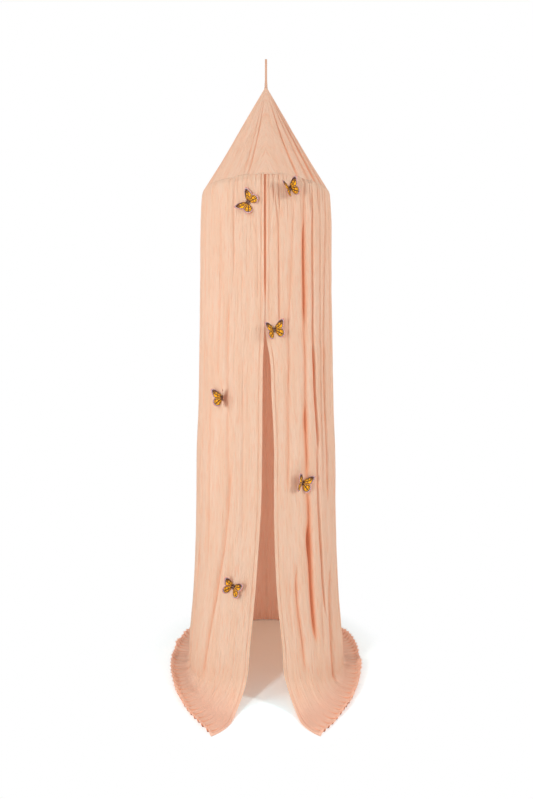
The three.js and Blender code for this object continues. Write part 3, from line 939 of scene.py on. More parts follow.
@dataclass
class Drape:
    """One drape: over the hoop's shoulder, down the fall, round the bend and out over the floor."""

    maker: Maker
    gauze: bpy.types.Material
    place: Place
    folds: tuple[Fold, ...]
    seed: int
    pins: Grid = field(default_factory=lambda: np.zeros((0, 3)))
    columns: int = 380
    over_rows: int = 9
    fall_rows: int = 84
    bend_rows: int = 11
    train_rows: int = 25
    width: float = 0.40
    lap_angle: float = math.radians(84)
    lap_inset: float = 0.0024
    hinge_clearance: float = 0.0028
    cone_lap: float = 0.004
    floor_clearance: float = 0.0011
    least_bend: float = 0.0014
    pleats: int = 20
    pleat_depth: float = 1.7
    pleat_places: tuple[float, float] = (0.2, 0.8)
    pleat_drift: float = 0.02
    pleat_halves: tuple[float, float] = (0.006, 0.014)
    pleat_depths: tuple[float, float] = (0.4, 1.0)
    pleat_reaches: tuple[float, float] = (0.2, 1.1)
    ripple: float = 0.6
    crinkle: float = 0.0009
    swell: float = 0.0030
    seam_dip: float = 0.0006
    slit_depth: float = 0.006
    slit_half: float = 0.0030
    slit_end: float = 0.2
    slit_fade: float = 0.07
    slit_gap: float = 0.0006
    hinge_lap: float = 0.36
    least_lap: float = 0.0022
    train_ridge: float = 0.0022
    plain_lap: float = 0.034
    darkest_fold: float = 0.0162
    hem_width: float = 0.0118
    hem_rise: float = 0.0014
    hem_fold: float = 0.0014
    stitch_off: float = 0.0012
    stitch_half: float = 0.0013
    sewn_reach: float = 0.033
    wing_reach: float = 0.058
    body_clearance: float = 0.0019
    ruffle_pitch: float = 0.026
    frill_height: float = 0.0115
    frill_reach: float = 0.012
    frill_run: float = 0.026
    frill_swell: float = 0.003
    crest_out: float = 0.0030
    pinch_in: float = 0.0038
    wave_out: float = 0.0012

    def _edge_angle(self, share: Grid) -> Grid:
        """The angle of the drape's first edge, without its side's sign.

        Args:
            share: Places down the fall, from 0 to 1.

        Returns:
            Angles in radians.
        """
        if self.place.back:
            return np.full_like(share, self.lap_angle)
        parting = LEFT_PARTING if self.place is Place.LEFT_FRONT else RIGHT_PARTING
        drawn = self.slit_gap + DRAPE_RADIUS * parting.at(share)
        return np.arcsin((self.place.side * SLIT_OFFSET + drawn) / (DRAPE_RADIUS * RADIUS.at(share)))

    def _angles(self, across: Grid, share: Grid, edge: Grid | None = None) -> Grid:
        """Angles from the front, without their side's sign.

        Args:
            across: Places across the drape, from 0 to 1.
            share: Places down the fall, from 0 to 1.
            edge: The first edge's angles, where they aren't those of the fall.

        Returns:
            The angles in radians.
        """
        first = self._edge_angle(share) if edge is None else edge
        last = math.pi if self.place.back else math.pi / 2 + self._seam_lap(share)
        return first + (last - first) * across

    def _seam_lap(self, share: Grid) -> Grid:
        """How far a front drape laps past its side seam, so that it opens no slit there when drawn aside.

        Args:
            share: Places down the fall, from 0 to 1.

        Returns:
            Angles in radians.
        """
        height = HOOP_Z - share * FALL
        hinge = HINGE_OUT + HINGE_LEAN * (HINGE_TOP - height)
        outside = hinge - DRAPE_RADIUS * RADIUS.at(share) - self.hinge_clearance
        lap = (self.hinge_lap * outside + self.least_lap) / DRAPE_RADIUS
        return lap * eased((HINGE_TOP - 0.05 - height) / 0.25)

    def _inset(self, angle: Grid) -> Grid:
        """How far a back drape's lap lies inside the front drape over it, in metres."""
        if not self.place.back:
            return np.zeros_like(angle)
        return self.lap_inset * eased((math.pi / 2 + 0.055 - angle) / 0.05)

    def _lap_lift(self, angle: Grid) -> Grid | float:
        """How far a front drape's train lies over the back one, in metres."""
        return 0.0 if self.place.back else TRAIN_LIFT * eased((np.degrees(angle) - 42) / 38)

    def _bend(self, across: Grid) -> Grid:
        """The radius of the wall's bend to the floor, at places across the drape."""
        return FLOOR_TURN * WALL_TURN.at(np.degrees(self._angles(across, np.ones_like(across))))

    def _over_hoop(self, across: Grid, rows: Grid) -> Grid:
        """The band from under the cone's edge, down the shoulder and round the hoop.

        Args:
            across: Places across the drape, from 0 to 1.
            rows: Places down the band, from 0 to 1.

        Returns:
            The band's points.
        """
        angle = self._angles(across, np.zeros_like(across))
        seam = SEAM_HEIGHT.at(np.degrees(self.place.side * angle))
        climb = (seam + self.cone_lap - SHOULDER_Z) / math.cos(CONE_LEAN)
        turn = CONE_LEAN * np.clip(2 - 2 * rows, 0, 1)
        up = climb * np.clip(1 - 2 * rows, 0, 1)
        rise = OVER_CASING + CLOTH * (0.15 + 0.85 * eased(rows * 5)) - self._inset(angle)
        radius = HOOP_RADIUS + rise * np.cos(turn) - up * math.sin(CONE_LEAN)
        height = HOOP_Z + rise * np.sin(turn) + up * math.cos(CONE_LEAN)
        return ring_point(radius, self.place.side * angle, height)

    def _falling(self, across: Grid, rows: Grid) -> Grid:
        """The fall, from the hoop down to where the bend starts.

        Args:
            across: Places across the drape, from 0 to 1.
            rows: Places down the band, from 0 to 1.

        Returns:
            The band's points.
        """
        height = HOOP_Z - rows * (FALL - self._bend(across))
        share = (HOOP_Z - height) / FALL
        angle = self._angles(across, share)
        radius = DRAPE_RADIUS * RADIUS.at(share) - self._inset(angle)
        return ring_point(radius, self.place.side * angle, height)

    def _floor_band(self, across: Grid, turn: Grid, out: Grid) -> Grid:
        """The bend and the train.

        Args:
            across: Places across the drape, from 0 to 1.
            turn: How far the cloth has turned, from 0 where it hangs to a right angle where it lies.
            out: Places from the bend to the hem, from 0 to 1.

        Returns:
            The band's points.
        """
        bend = self._bend(across)
        share = 1 - bend * (1 - np.sin(turn)) / FALL
        start = self._edge_angle(share)
        corner = self.lap_angle if self.place.back else CORNER_ANGLE
        angle = self._angles(across, share, start + (corner - start) * (0.35 * out + 0.65 * out * out))
        degrees = np.degrees(angle)
        contact = DRAPE_RADIUS * RADIUS.at(share) - self._inset(angle)
        bent = contact + bend * (1 - np.cos(turn))
        hem = contact + FLOOR_TURN * TURN_RADIUS.at(degrees) + TRAIN_WIDTH * TRAIN.at(degrees)
        height = FLOOR_Z + self.least_bend + (bend - self.least_bend) * (1 - np.sin(turn))
        height = height + self._lap_lift(angle) * np.sin(turn)
        return ring_point(bent + (hem - bent) * out, self.place.side * angle, height)

    def _lay(self) -> Lay:
        """Lays the drape's bands one below another, from under the cone to the hem.

        Returns:
            How the drape lies.
        """
        across = np.linspace(0, 1, self.columns)[None, :]
        over = shares(self.over_rows, endpoint=False)
        fall = shares(self.fall_rows, endpoint=False) ** 1.2
        bend = shares(self.bend_rows, endpoint=False)
        out = 1 - (1 - shares(self.train_rows)) ** 1.5
        bands = [self._over_hoop(across, over), self._falling(across, fall)]
        bands.append(self._floor_band(across, bend * math.pi / 2, 0 * bend))
        bands.append(self._floor_band(across, np.full_like(out, math.pi / 2), out))
        share = np.concatenate([0 * over, fall, 1 + 0 * bend, 1 + 0 * out])
        flat = eased(np.concatenate([0 * over, 0 * fall, bend, 1 + 0 * out]))
        lying = np.concatenate([0 * over, 0 * fall, 0 * bend, out])
        return Lay(np.concatenate(bands), across, share, flat, lying)

    def build(self, name: str) -> bpy.types.Object:
        """Builds the drape.

        Args:
            name: The piece's name.

        Returns:
            The drape, at the origin, with its thickness and material.
        """
        lay = self._lay()
        side, flat, share, last = self.place.side, lay.flat, lay.share, lay.last
        plain = eased((lay.first - self.plain_lap) / 0.035) if self.place.back else 1
        groove = self._grooves(lay) * eased(last / 0.02) * plain
        slit, gathers = self._slit(lay), self._gathers(lay)
        fine = (self._crinkles(lay) - gathers) * (eased(last / 0.012) * plain)
        hem, stitches = self._edge_hem(lay)
        lift, push, pinch = self._ruffle(lay)
        ridge = self.train_ridge * (1 - np.clip(groove / 0.006, 0, 1)) * (1 - lay.lying) ** 1.3
        standing = STAND.at(share) * MILLIMETRE - groove - slit * self.slit_depth
        offset = standing * (1 - flat) + ridge * flat + fine * (1 - 0.5 * flat) + hem
        offset = self._sewn(lay, offset - self.seam_dip * bell(last / 0.003))
        offset = np.maximum(offset, -0.0008 - 0.04 * eased((share - 0.003) / 0.02))
        points = self._placed(lay, offset, push, lift)
        # Painted shade: the folds, gathers, slit, stitched line and the frill's pinches are marked for the
        # gauze to darken them, the slit and the pinches darkest.
        folded = np.clip(groove / self.darkest_fold, 0, 1.2) * (1 - flat)
        dark = folded + 0.3 * np.clip(gathers / 0.003, 0, 1)
        valley = np.clip(dark + 1.7 * slit + 0.55 * stitches, 0, 1.6) + 2.6 * pinch
        places = stacked(lay.across * self.width, lay.length)
        marks = {"valley": valley[:, ::side], "lying": np.broadcast_to(flat, valley.shape)}
        piece = self.maker.grid_mesh(name, points[:, ::side], places[:, ::side], marks)
        self.maker.thicken(piece)
        self.maker.dress(piece, "cloth", self.gauze)
        return piece

    def _placed(self, lay: Lay, offset: Grid, push: Grid, lift: Grid) -> Grid:
        """Moves the cloth off its lay, and keeps it off the floor.

        Args:
            lay: How the drape lies.
            offset: How far each point stands off its lay.
            push: How far the frill stands out.
            lift: How far the frill lifts off the floor.

        Returns:
            The drape's points.
        """
        outwards = lay.base * np.array([1, 1, 0])
        outwards /= np.linalg.norm(outwards, axis=-1, keepdims=True)
        points = lay.base + self.place.side * surface_normals(lay.base) * offset[..., None]
        points += outwards * push[..., None]
        points[..., 2] += lift
        plan = np.arctan2(np.abs(points[..., 0]), -points[..., 1])
        floor = FLOOR_Z + self.floor_clearance + self._lap_lift(plan) * (lay.flat > 0.5)
        points[..., 2] = np.maximum(points[..., 2], floor)
        return points

    def _sewn(self, lay: Lay, offset: Grid) -> Grid:
        """Draws the cloth in to the butterflies' bodies, and clears it for their wings.

        Args:
            lay: How the drape lies.
            offset: How far the cloth stands off its lay.

        Returns:
            The offsets, with the cloth at each body's seat and under its wings.
        """
        for pin in self.pins:
            seat_radius = math.hypot(pin[0], pin[1]) - self.body_clearance
            seat = seat_radius - DRAPE_RADIUS * float(RADIUS.at((HOOP_Z - pin[2]) / FALL))
            apart = np.linalg.norm(lay.base - pin, axis=-1)
            room = seat_radius - np.hypot(lay.base[..., 0], lay.base[..., 1])
            under = np.exp(-((apart / self.wing_reach) ** 6))
            offset = offset - under * np.maximum(offset - room, 0)
            near = np.exp(-((apart / self.sewn_reach) ** 4))
            offset = offset * (1 - near) + seat * near
        return offset

    def _grooves(self, lay: Lay) -> Grid:
        """How deep the cloth lies in its long folds, in metres."""
        return sum(fold.groove(lay.across, lay.share) for fold in self.folds) * FOLD_GROWTH.at(lay.share)

    def _slit(self, lay: Lay) -> Grid:
        """1 at the front edge where the two drapes meet, and 0 away from it or where they part."""
        meeting = 0 if self.place.back else 1 - eased((lay.share - self.slit_end) / self.slit_fade)
        return bell(lay.first / self.slit_half) * meeting

    def _gathers(self, lay: Lay) -> Grid:
        """The gathers under the seam, which run out down the cloth.

        Args:
            lay: How the drape lies.

        Returns:
            Depths in metres.
        """
        rng = np.random.default_rng(self.seed)
        depth = np.zeros(lay.base.shape[:2])
        for i in range(self.pleats):
            middle = (i + rng.uniform(*self.pleat_places)) / self.pleats
            drift = rng.uniform(-self.pleat_drift, self.pleat_drift)
            half = rng.uniform(*self.pleat_halves)
            deep = rng.uniform(*self.pleat_depths) * self.pleat_depth * MILLIMETRE
            reach = rng.uniform(*self.pleat_reaches)
            off = (lay.across - middle - drift * lay.share) / half
            alive = eased((reach - lay.share) / 0.35) * (0.7 + 0.9 * np.exp(-lay.share / 0.035))
            depth += deep * bell(off) * alive
        return depth * eased((lay.length - 0.001) / 0.008)

    def _crinkles(self, lay: Lay) -> Grid:
        """Ripples, crinkles and broad swells.

        Args:
            lay: How the drape lies.

        Returns:
            Heights in metres.
        """
        across, length = lay.across, lay.length
        ripple = wander(self.seed + 1, across * 27, length * 2.2) * self.ripple * MILLIMETRE
        crinkle = wander(self.seed + 2, across * 96, length * 15) * self.crinkle
        swell = wander(self.seed + 3, across * 7, length * 1.3) * self.swell * eased(lay.share / 0.3)
        started = eased((length - 0.001) / 0.012)
        return (ripple * (0.45 + 0.55 * eased(lay.share * 6)) + crinkle) * started + swell

    def _edge_hem(self, lay: Lay) -> tuple[Grid, Grid]:
        """The folded hem along a front drape's first edge.

        Args:
            lay: How the drape lies.

        Returns:
            Its height in metres, and where it is stitched down.
        """
        hemmed = 0 if self.place.back else 1
        fold = eased((self.hem_width - lay.first) / self.hem_fold) * hemmed
        stitches = bell((lay.first - self.hem_width - self.stitch_off) / self.stitch_half) * hemmed
        return self.hem_rise * fold - self.hem_rise * stitches, stitches

    def _ruffle(self, lay: Lay) -> tuple[Grid, Grid, Grid]:
        """The hem's frill.

        Args:
            lay: How the drape lies.

        Returns:
            How far the frill lifts off the floor, how far it stands out, and where it is pinched.
        """
        arc = distances(lay.base[-1])[None, :]
        reach = lay.length[-1:] - lay.length
        jitter = wander(self.seed + 7, arc / 0.07, 0) * 1.6
        size = 1 + 0.5 * wander(self.seed + 8, arc / 0.045, 0)
        phase = 2 * math.pi * arc / self.ruffle_pitch + jitter
        tip_fade = eased(arc / 0.02) * eased((arc[:, -1:] - arc) / 0.012)
        near = bell(reach / self.frill_reach) * tip_fade
        far = np.exp(-reach / self.frill_run) * tip_fade
        pinch = bell(np.sin(phase / 2) / 0.3)
        crest = np.sin(phase / 2 + 0.5) ** 6
        lift = size * (1 - pinch) * (self.frill_height * near + self.frill_swell * far)
        wave = self.crest_out * crest - self.pinch_in * pinch + self.wave_out * np.sin(phase)
        return lift, size * wave * near, pinch * far


def sewn_places(joints: list[dict[str, object]]) -> Grid:
    """The middles of the butterflies' bodies, half way between their wings' hinges.

    Args:
        joints: The frame's joints.

    Returns:
        One point for each butterfly.
    """
    hinges = {str(joint["child"]): np.array(joint["pos_m"]) for joint in joints}
    lefts = sorted(name for name in hinges if name.endswith("left_wing"))
    return np.array([(hinges[name] + hinges[name.replace("left", "right")]) / 2 for name in lefts])


@dataclass
class Drapes:
    """The four drapes.

    Each fold has its half width as a share of the panel, its depth in millimetres, and its line down the
    panel.
    """

    maker: Maker
    gauze: bpy.types.Material
    pins: Grid
    bend_top: float = -0.703
    bend_bottom: float = -1.02
    left: tuple[Fold, ...] = folds(
        -1,
        (0.030, 7, ((0.03, 0.726), (0.145, 0.70), (0.277, 0.695), (0.474, 0.685), (0.72, 0.655))),
        (0.026, 5, ((0.08, 0.545), (0.255, 0.544), (0.43, 0.531))),
        (0.034, 7, ((0.0, 0.444), (0.15, 0.436), (0.234, 0.441), (0.43, 0.446))),
        (0.028, 5, ((-0.06, 0.297), (0.15, 0.289), (0.22, 0.287))),
        (0.034, 6, ((0.20, 0.338), (0.299, 0.336), (0.466, 0.321), (0.621, 0.295))),
        (0.024, 4, ((0.08, 0.066), (0.212, 0.062), (0.28, 0.067))),
        (0.034, 4, ((0.328, 0.176), (0.521, 0.169), (0.76, 0.149))),
        (0.034, 7, ((0.40, 0.56), (0.60, 0.53), (0.80, 0.52))),
        (0.024, 6, ((-0.06, 0.86), (0.3, 0.86), (0.7, 0.88))),
        (0.038, 23, ((0.72, 0.68), (0.84, 0.715), (0.93, 0.745), (1.04, 0.79))),
        (0.036, 8, ((0.55, 0.27), (0.719, 0.313), (0.82, 0.368))),
        (0.036, 10, ((0.76, 0.34), (0.82, 0.368), (0.912, 0.427), (1.03, 0.469))),
        (0.040, 9, ((0.55, 0.88), (0.80, 0.90), (1.06, 0.91))),
    )
    right: tuple[Fold, ...] = folds(
        1,
        (0.012, 4, ((-0.06, 0.024), (0.032, 0.041), (0.15, 0.049))),
        (0.018, 8, ((-0.06, 0.085), (0.038, 0.094), (0.086, 0.115), (0.34, 0.127))),
        (0.011, 16, ((-0.06, 0.072), (0.065, 0.075))),
        (0.012, 17, ((-0.06, 0.128), (0.080, 0.128))),
        (0.010, 5, ((-0.06, 0.205), (0.10, 0.200))),
        (0.030, 7, ((-0.05, 0.284), (0.104, 0.248), (0.235, 0.221), (0.464, 0.15), (0.66, 0.125))),
        (0.010, 5, ((-0.06, 0.335), (0.09, 0.33))),
        (0.011, 14, ((-0.06, 0.440), (0.075, 0.442))),
        (0.010, 14, ((-0.06, 0.552), (0.065, 0.550))),
        (0.010, 14, ((-0.06, 0.632), (0.065, 0.630))),
        (0.044, 10, ((-0.06, 0.392), (0.059, 0.370), (0.23, 0.374), (0.397, 0.338), (0.524, 0.322))),
        (0.030, 9, ((0.06, 0.370), (0.23, 0.374), (0.30, 0.36))),
        (0.046, 14, ((0.44, 0.333), (0.524, 0.322), (0.662, 0.340), (0.78, 0.346))),
        (0.044, 22, ((0.68, 0.342), (0.818, 0.346), (0.95, 0.336))),
        (0.024, 10, ((-0.06, 0.477), (0.102, 0.470), (0.21, 0.470), (0.329, 0.454), (0.42, 0.45))),
        (0.022, 20, ((0.32, 0.455), (0.40, 0.450), (0.508, 0.462), (0.56, 0.465))),
        (0.026, 11, ((0.508, 0.445), (0.627, 0.452), (0.771, 0.480), (0.90, 0.49))),
        (0.020, 6, ((-0.05, 0.596), (0.053, 0.577), (0.208, 0.577), (0.43, 0.539), (0.66, 0.514))),
        (0.026, 9, ((-0.04, 0.685), (0.049, 0.687), (0.142, 0.668), (0.432, 0.611), (0.68, 0.611))),
        (0.022, 7, ((0.0, 0.787), (0.226, 0.789), (0.50, 0.722))),
        (0.026, 9, ((-0.06, 0.90), (0.3, 0.89), (0.7, 0.90))),
        (0.024, 5, ((0.77, 0.145), (0.878, 0.109), (0.97, 0.103))),
        (0.032, 11, ((0.76, 0.196), (0.862, 0.182), (0.924, 0.193), (1.02, 0.207))),
        (0.026, 6, ((0.82, 0.45), (0.90, 0.43), (0.97, 0.418))),
        (0.036, 12, ((0.76, 0.65), (0.909, 0.557), (1.06, 0.529))),
        (0.034, 9, ((0.55, 0.80), (0.80, 0.82), (1.06, 0.83))),
    )
    behind_left: tuple[Fold, ...] = folds(
        1,
        (0.035, 7, ((-0.06, 0.15), (0.4, 0.17), (1.06, 0.14))),
        (0.032, 10, ((-0.06, 0.26), (0.5, 0.25), (1.06, 0.29))),
        (0.030, 6, ((-0.06, 0.36), (0.45, 0.39))),
        (0.036, 12, ((-0.06, 0.50), (0.4, 0.53), (1.06, 0.52))),
        (0.030, 7, ((0.30, 0.63), (1.06, 0.66))),
        (0.034, 11, ((-0.06, 0.74), (0.6, 0.79), (1.06, 0.78))),
        (0.028, 6, ((-0.06, 0.90), (0.7, 0.93))),
    )
    behind_right: tuple[Fold, ...] = folds(
        1,
        (0.030, 8, ((-0.06, 0.17), (1.06, 0.20))),
        (0.034, 10, ((-0.06, 0.31), (0.5, 0.29), (1.06, 0.33))),
        (0.026, 6, ((-0.06, 0.42), (0.6, 0.44))),
        (0.034, 10, ((0.10, 0.55), (0.5, 0.59), (1.06, 0.57))),
        (0.030, 7, ((-0.06, 0.67), (1.06, 0.70))),
        (0.034, 11, ((-0.06, 0.83), (0.5, 0.80), (1.06, 0.84))),
        (0.026, 5, ((-0.06, 0.93), (0.5, 0.95))),
    )

    def build(self) -> None:
        """Builds the four drapes."""
        left = Drape(self.maker, self.gauze, Place.LEFT_FRONT, self.left, 101, self.pins, pleats=22)
        right = Drape(self.maker, self.gauze, Place.RIGHT_FRONT, self.right, 202, self.pins, ripple=0.8)
        for drape, side in ((left, "left"), (right, "right")):
            self._front(drape, side)
        for place, side, lines, seed in (
            (Place.LEFT_BACK, "left", self.behind_left, 303),
            (Place.RIGHT_BACK, "right", self.behind_right, 404),
        ):
            drape = Drape(self.maker, self.gauze, place, lines, seed, ripple=0.8, ruffle_pitch=0.023)
            drape.pleats, drape.pleat_depth = 24, 2.2
            piece = drape.build(f"{side}_back_cloth")
            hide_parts(f"{side}_back_drape")
            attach(piece, "canopy")

    def _front(self, drape: Drape, side: str) -> None:
        """Builds a front drape in place.

        Args:
            drape: The drape.
            side: The word for its side.
        """
        piece = drape.build(f"{side}_front_cloth")
        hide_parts(f"{side}_front_heading", f"{side}_front_drape")
        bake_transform(piece)


@dataclass
class Hoop:
    """The hoop's rods and sleeves, and the cloth casing round them."""

    maker: Maker
    gauze: bpy.types.Material
    casing_radius: float = 0.0078
    half_wall: float = 0.0004
    pucker: float = 0.00035
    gap: float = 0.015
    columns: int = 420
    turns: int = 14

    def build(self, nodes: dict[str, bpy.types.Object]) -> None:
        """Builds the casing, and finishes the rods and sleeves.

        Args:
            nodes: The solids by name.
        """
        end = math.pi - self.gap / 2 / HOOP_RADIUS
        angle = np.linspace(-end, end, self.columns)[None, :]
        turn = np.linspace(0, 2 * math.pi, self.turns + 1)[:, None]
        puckers = wander(51, (angle + math.pi) * 24, turn * 0.6) * self.pucker
        radius = self.casing_radius - self.half_wall + puckers
        points = ring_point(HOOP_RADIUS + radius * np.cos(turn), angle, HOOP_Z + radius * np.sin(turn))
        points[-1] = points[0]
        places = stacked(angle * HOOP_RADIUS, turn * self.casing_radius)
        marks = {"valley": np.zeros(points.shape[:2])}
        name = "hoop_casing_cloth"
        piece = self.maker.grid_mesh(name, points[:, ::-1], places[:, ::-1], marks, closed=True)
        self.maker.thicken(piece)
        self.maker.dress(piece, "cloth", self.gauze)
        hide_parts("hoop_casing")
        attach(piece, "canopy")
        rod = PlasticFinish("rod_plastic", (0.82, 0.8, 0.75), (0.6, 0.58, 0.53), 0.4).material()
        sleeve = PlasticFinish("sleeve_plastic", (0.6, 0.58, 0.53), (0.42, 0.4, 0.36), 0.48).material()
        for name, node in nodes.items():
            for start, finish in (("hoop_rod", rod), ("hoop_sleeve", sleeve)):
                if name.startswith(start):
                    node.material_slots[0].material = finish


@dataclass
class Hanger:
    """The tape loop, cupped along its middle, and the band that binds it into the cone's tip."""

    maker: Maker
    tape: bpy.types.Material
    half_width: float = 0.0043
    foot_half_width: float = 0.0056
    eye_radius: float = 0.0065
    wall: float = 0.001
    cup: float = 0.0013
    cup_start: float = 0.004
    cup_run: float = 0.01
    foot_share: float = 0.72
    foot_run_share: float = 0.3
    columns: int = 13
    bulge: float = 0.00015
    half_gap: float = 0.00015
    eye_share: float = 0.55
    rise_steps: int = 22
    crown_steps: int = 25
    band_radius: float = 0.0052
    band_flare: float = 0.0017
    band_map_radius: float = 0.007
    band_height: float = 0.010
    band_thickness: float = 0.0005
    waist: float = 0.0003
    waist_share: float = 0.16
    pucker: float = 0.00022
    puckers: int = 11
    band_columns: int = 73
    band_rows: int = 15

    def build(self) -> None:
        """Builds the loop and the band."""
        self._loop()
        self._band()

    def _route(self) -> Grid:
        """The loop's line in the plane that faces the sides.

        Returns:
            Points, each out and up, from the back end round the eye to the front end.
        """
        neck = TIP_Z * self.eye_share
        turn = np.linspace(0, math.pi, self.crown_steps)
        gap, eye = self.half_gap, self.eye_radius
        rise = np.linspace(NECK_Z, neck, self.rise_steps)[:-1]
        swell = np.linspace(0, 1, self.rise_steps)[:-1]
        climb = neck + (-eye - neck) * swell
        half = gap + (eye - gap) * swell**1.15
        up = np.concatenate([np.stack([0 * rise + gap, rise], 1), np.stack([half, climb], 1)])
        crown = np.stack([eye * np.cos(turn), -eye + eye * np.sin(turn)], 1)
        return np.concatenate([up, crown, (up * np.array([-1, 1]))[::-1]])

    def _loop(self) -> None:
        """Builds the tape, woven flat with firm edges."""
        route = self._route()
        run = distances(route)[:, None]
        across = np.linspace(-1, 1, self.columns)[None, :]
        tangent = np.gradient(route, axis=0)
        tangent /= np.linalg.norm(tangent, axis=1, keepdims=True)
        outward = np.stack([tangent[:, 1], -tangent[:, 0]], 1)
        flat = self.wall + wander(61, run * 60, across + 1) * self.bulge
        started = eased((-self.cup_start - route[:, 1:]) / self.cup_run)
        cupped = flat + self.cup * (1 - across**2) * started
        foot = eased((TIP_Z * self.foot_share - route[:, 1:]) / (TIP_Z * -self.foot_run_share))
        half = self.half_width + (self.foot_half_width - self.half_width) * foot
        y = route[:, :1] + outward[:, :1] * cupped
        z = route[:, 1:] + outward[:, 1:] * flat
        places = stacked(across * self.half_width, run)
        piece = self.maker.grid_mesh("loop_tape", stacked(across * half, y, z), places)
        self.maker.thicken(piece)
        self.maker.dress(piece, "strap", self.tape)
        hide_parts("hanging_loop")
        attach(piece, "canopy")

    def _band(self) -> None:
        """Builds the bound band at the tip, drawn in by its stitches."""
        angle = np.linspace(-math.pi, math.pi, self.band_columns)[None, :]
        down = shares(self.band_rows)
        waist = self.waist * bell((down - 0.5) / self.waist_share)
        waves = np.cos(angle * self.puckers + 3 * np.sin(angle * 2))
        pucker = self.pucker * waves * eased(1.4 * down)
        radius = self.band_radius + self.band_flare * down - waist + pucker
        points = ring_point(radius, angle, TIP_Z + MILLIMETRE - self.band_height * down)
        points[:, -1] = points[:, 0]
        places = stacked(angle * self.band_map_radius, down * self.band_height)
        piece = self.maker.grid_mesh("tip_band", points, places, closed=True)
        self.maker.thicken(piece, self.band_thickness)
        self.maker.dress(piece, "strap", self.tape)
        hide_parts("apex_collar")
        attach(piece, "canopy")


@dataclass(frozen=True)
class Butterfly:
    """A butterfly: what it rides on, its place in degrees from the front, and its lean.

    Each wing has its lift and how far it bends down to its tip, in degrees.
    """

    number: int
    body: str
    angle: float
    lean: float
    left: float
    right: float
    left_bend: float
    right_bend: float


Outline = tuple[tuple[float, float], ...]
Triple = tuple[float, float, float]


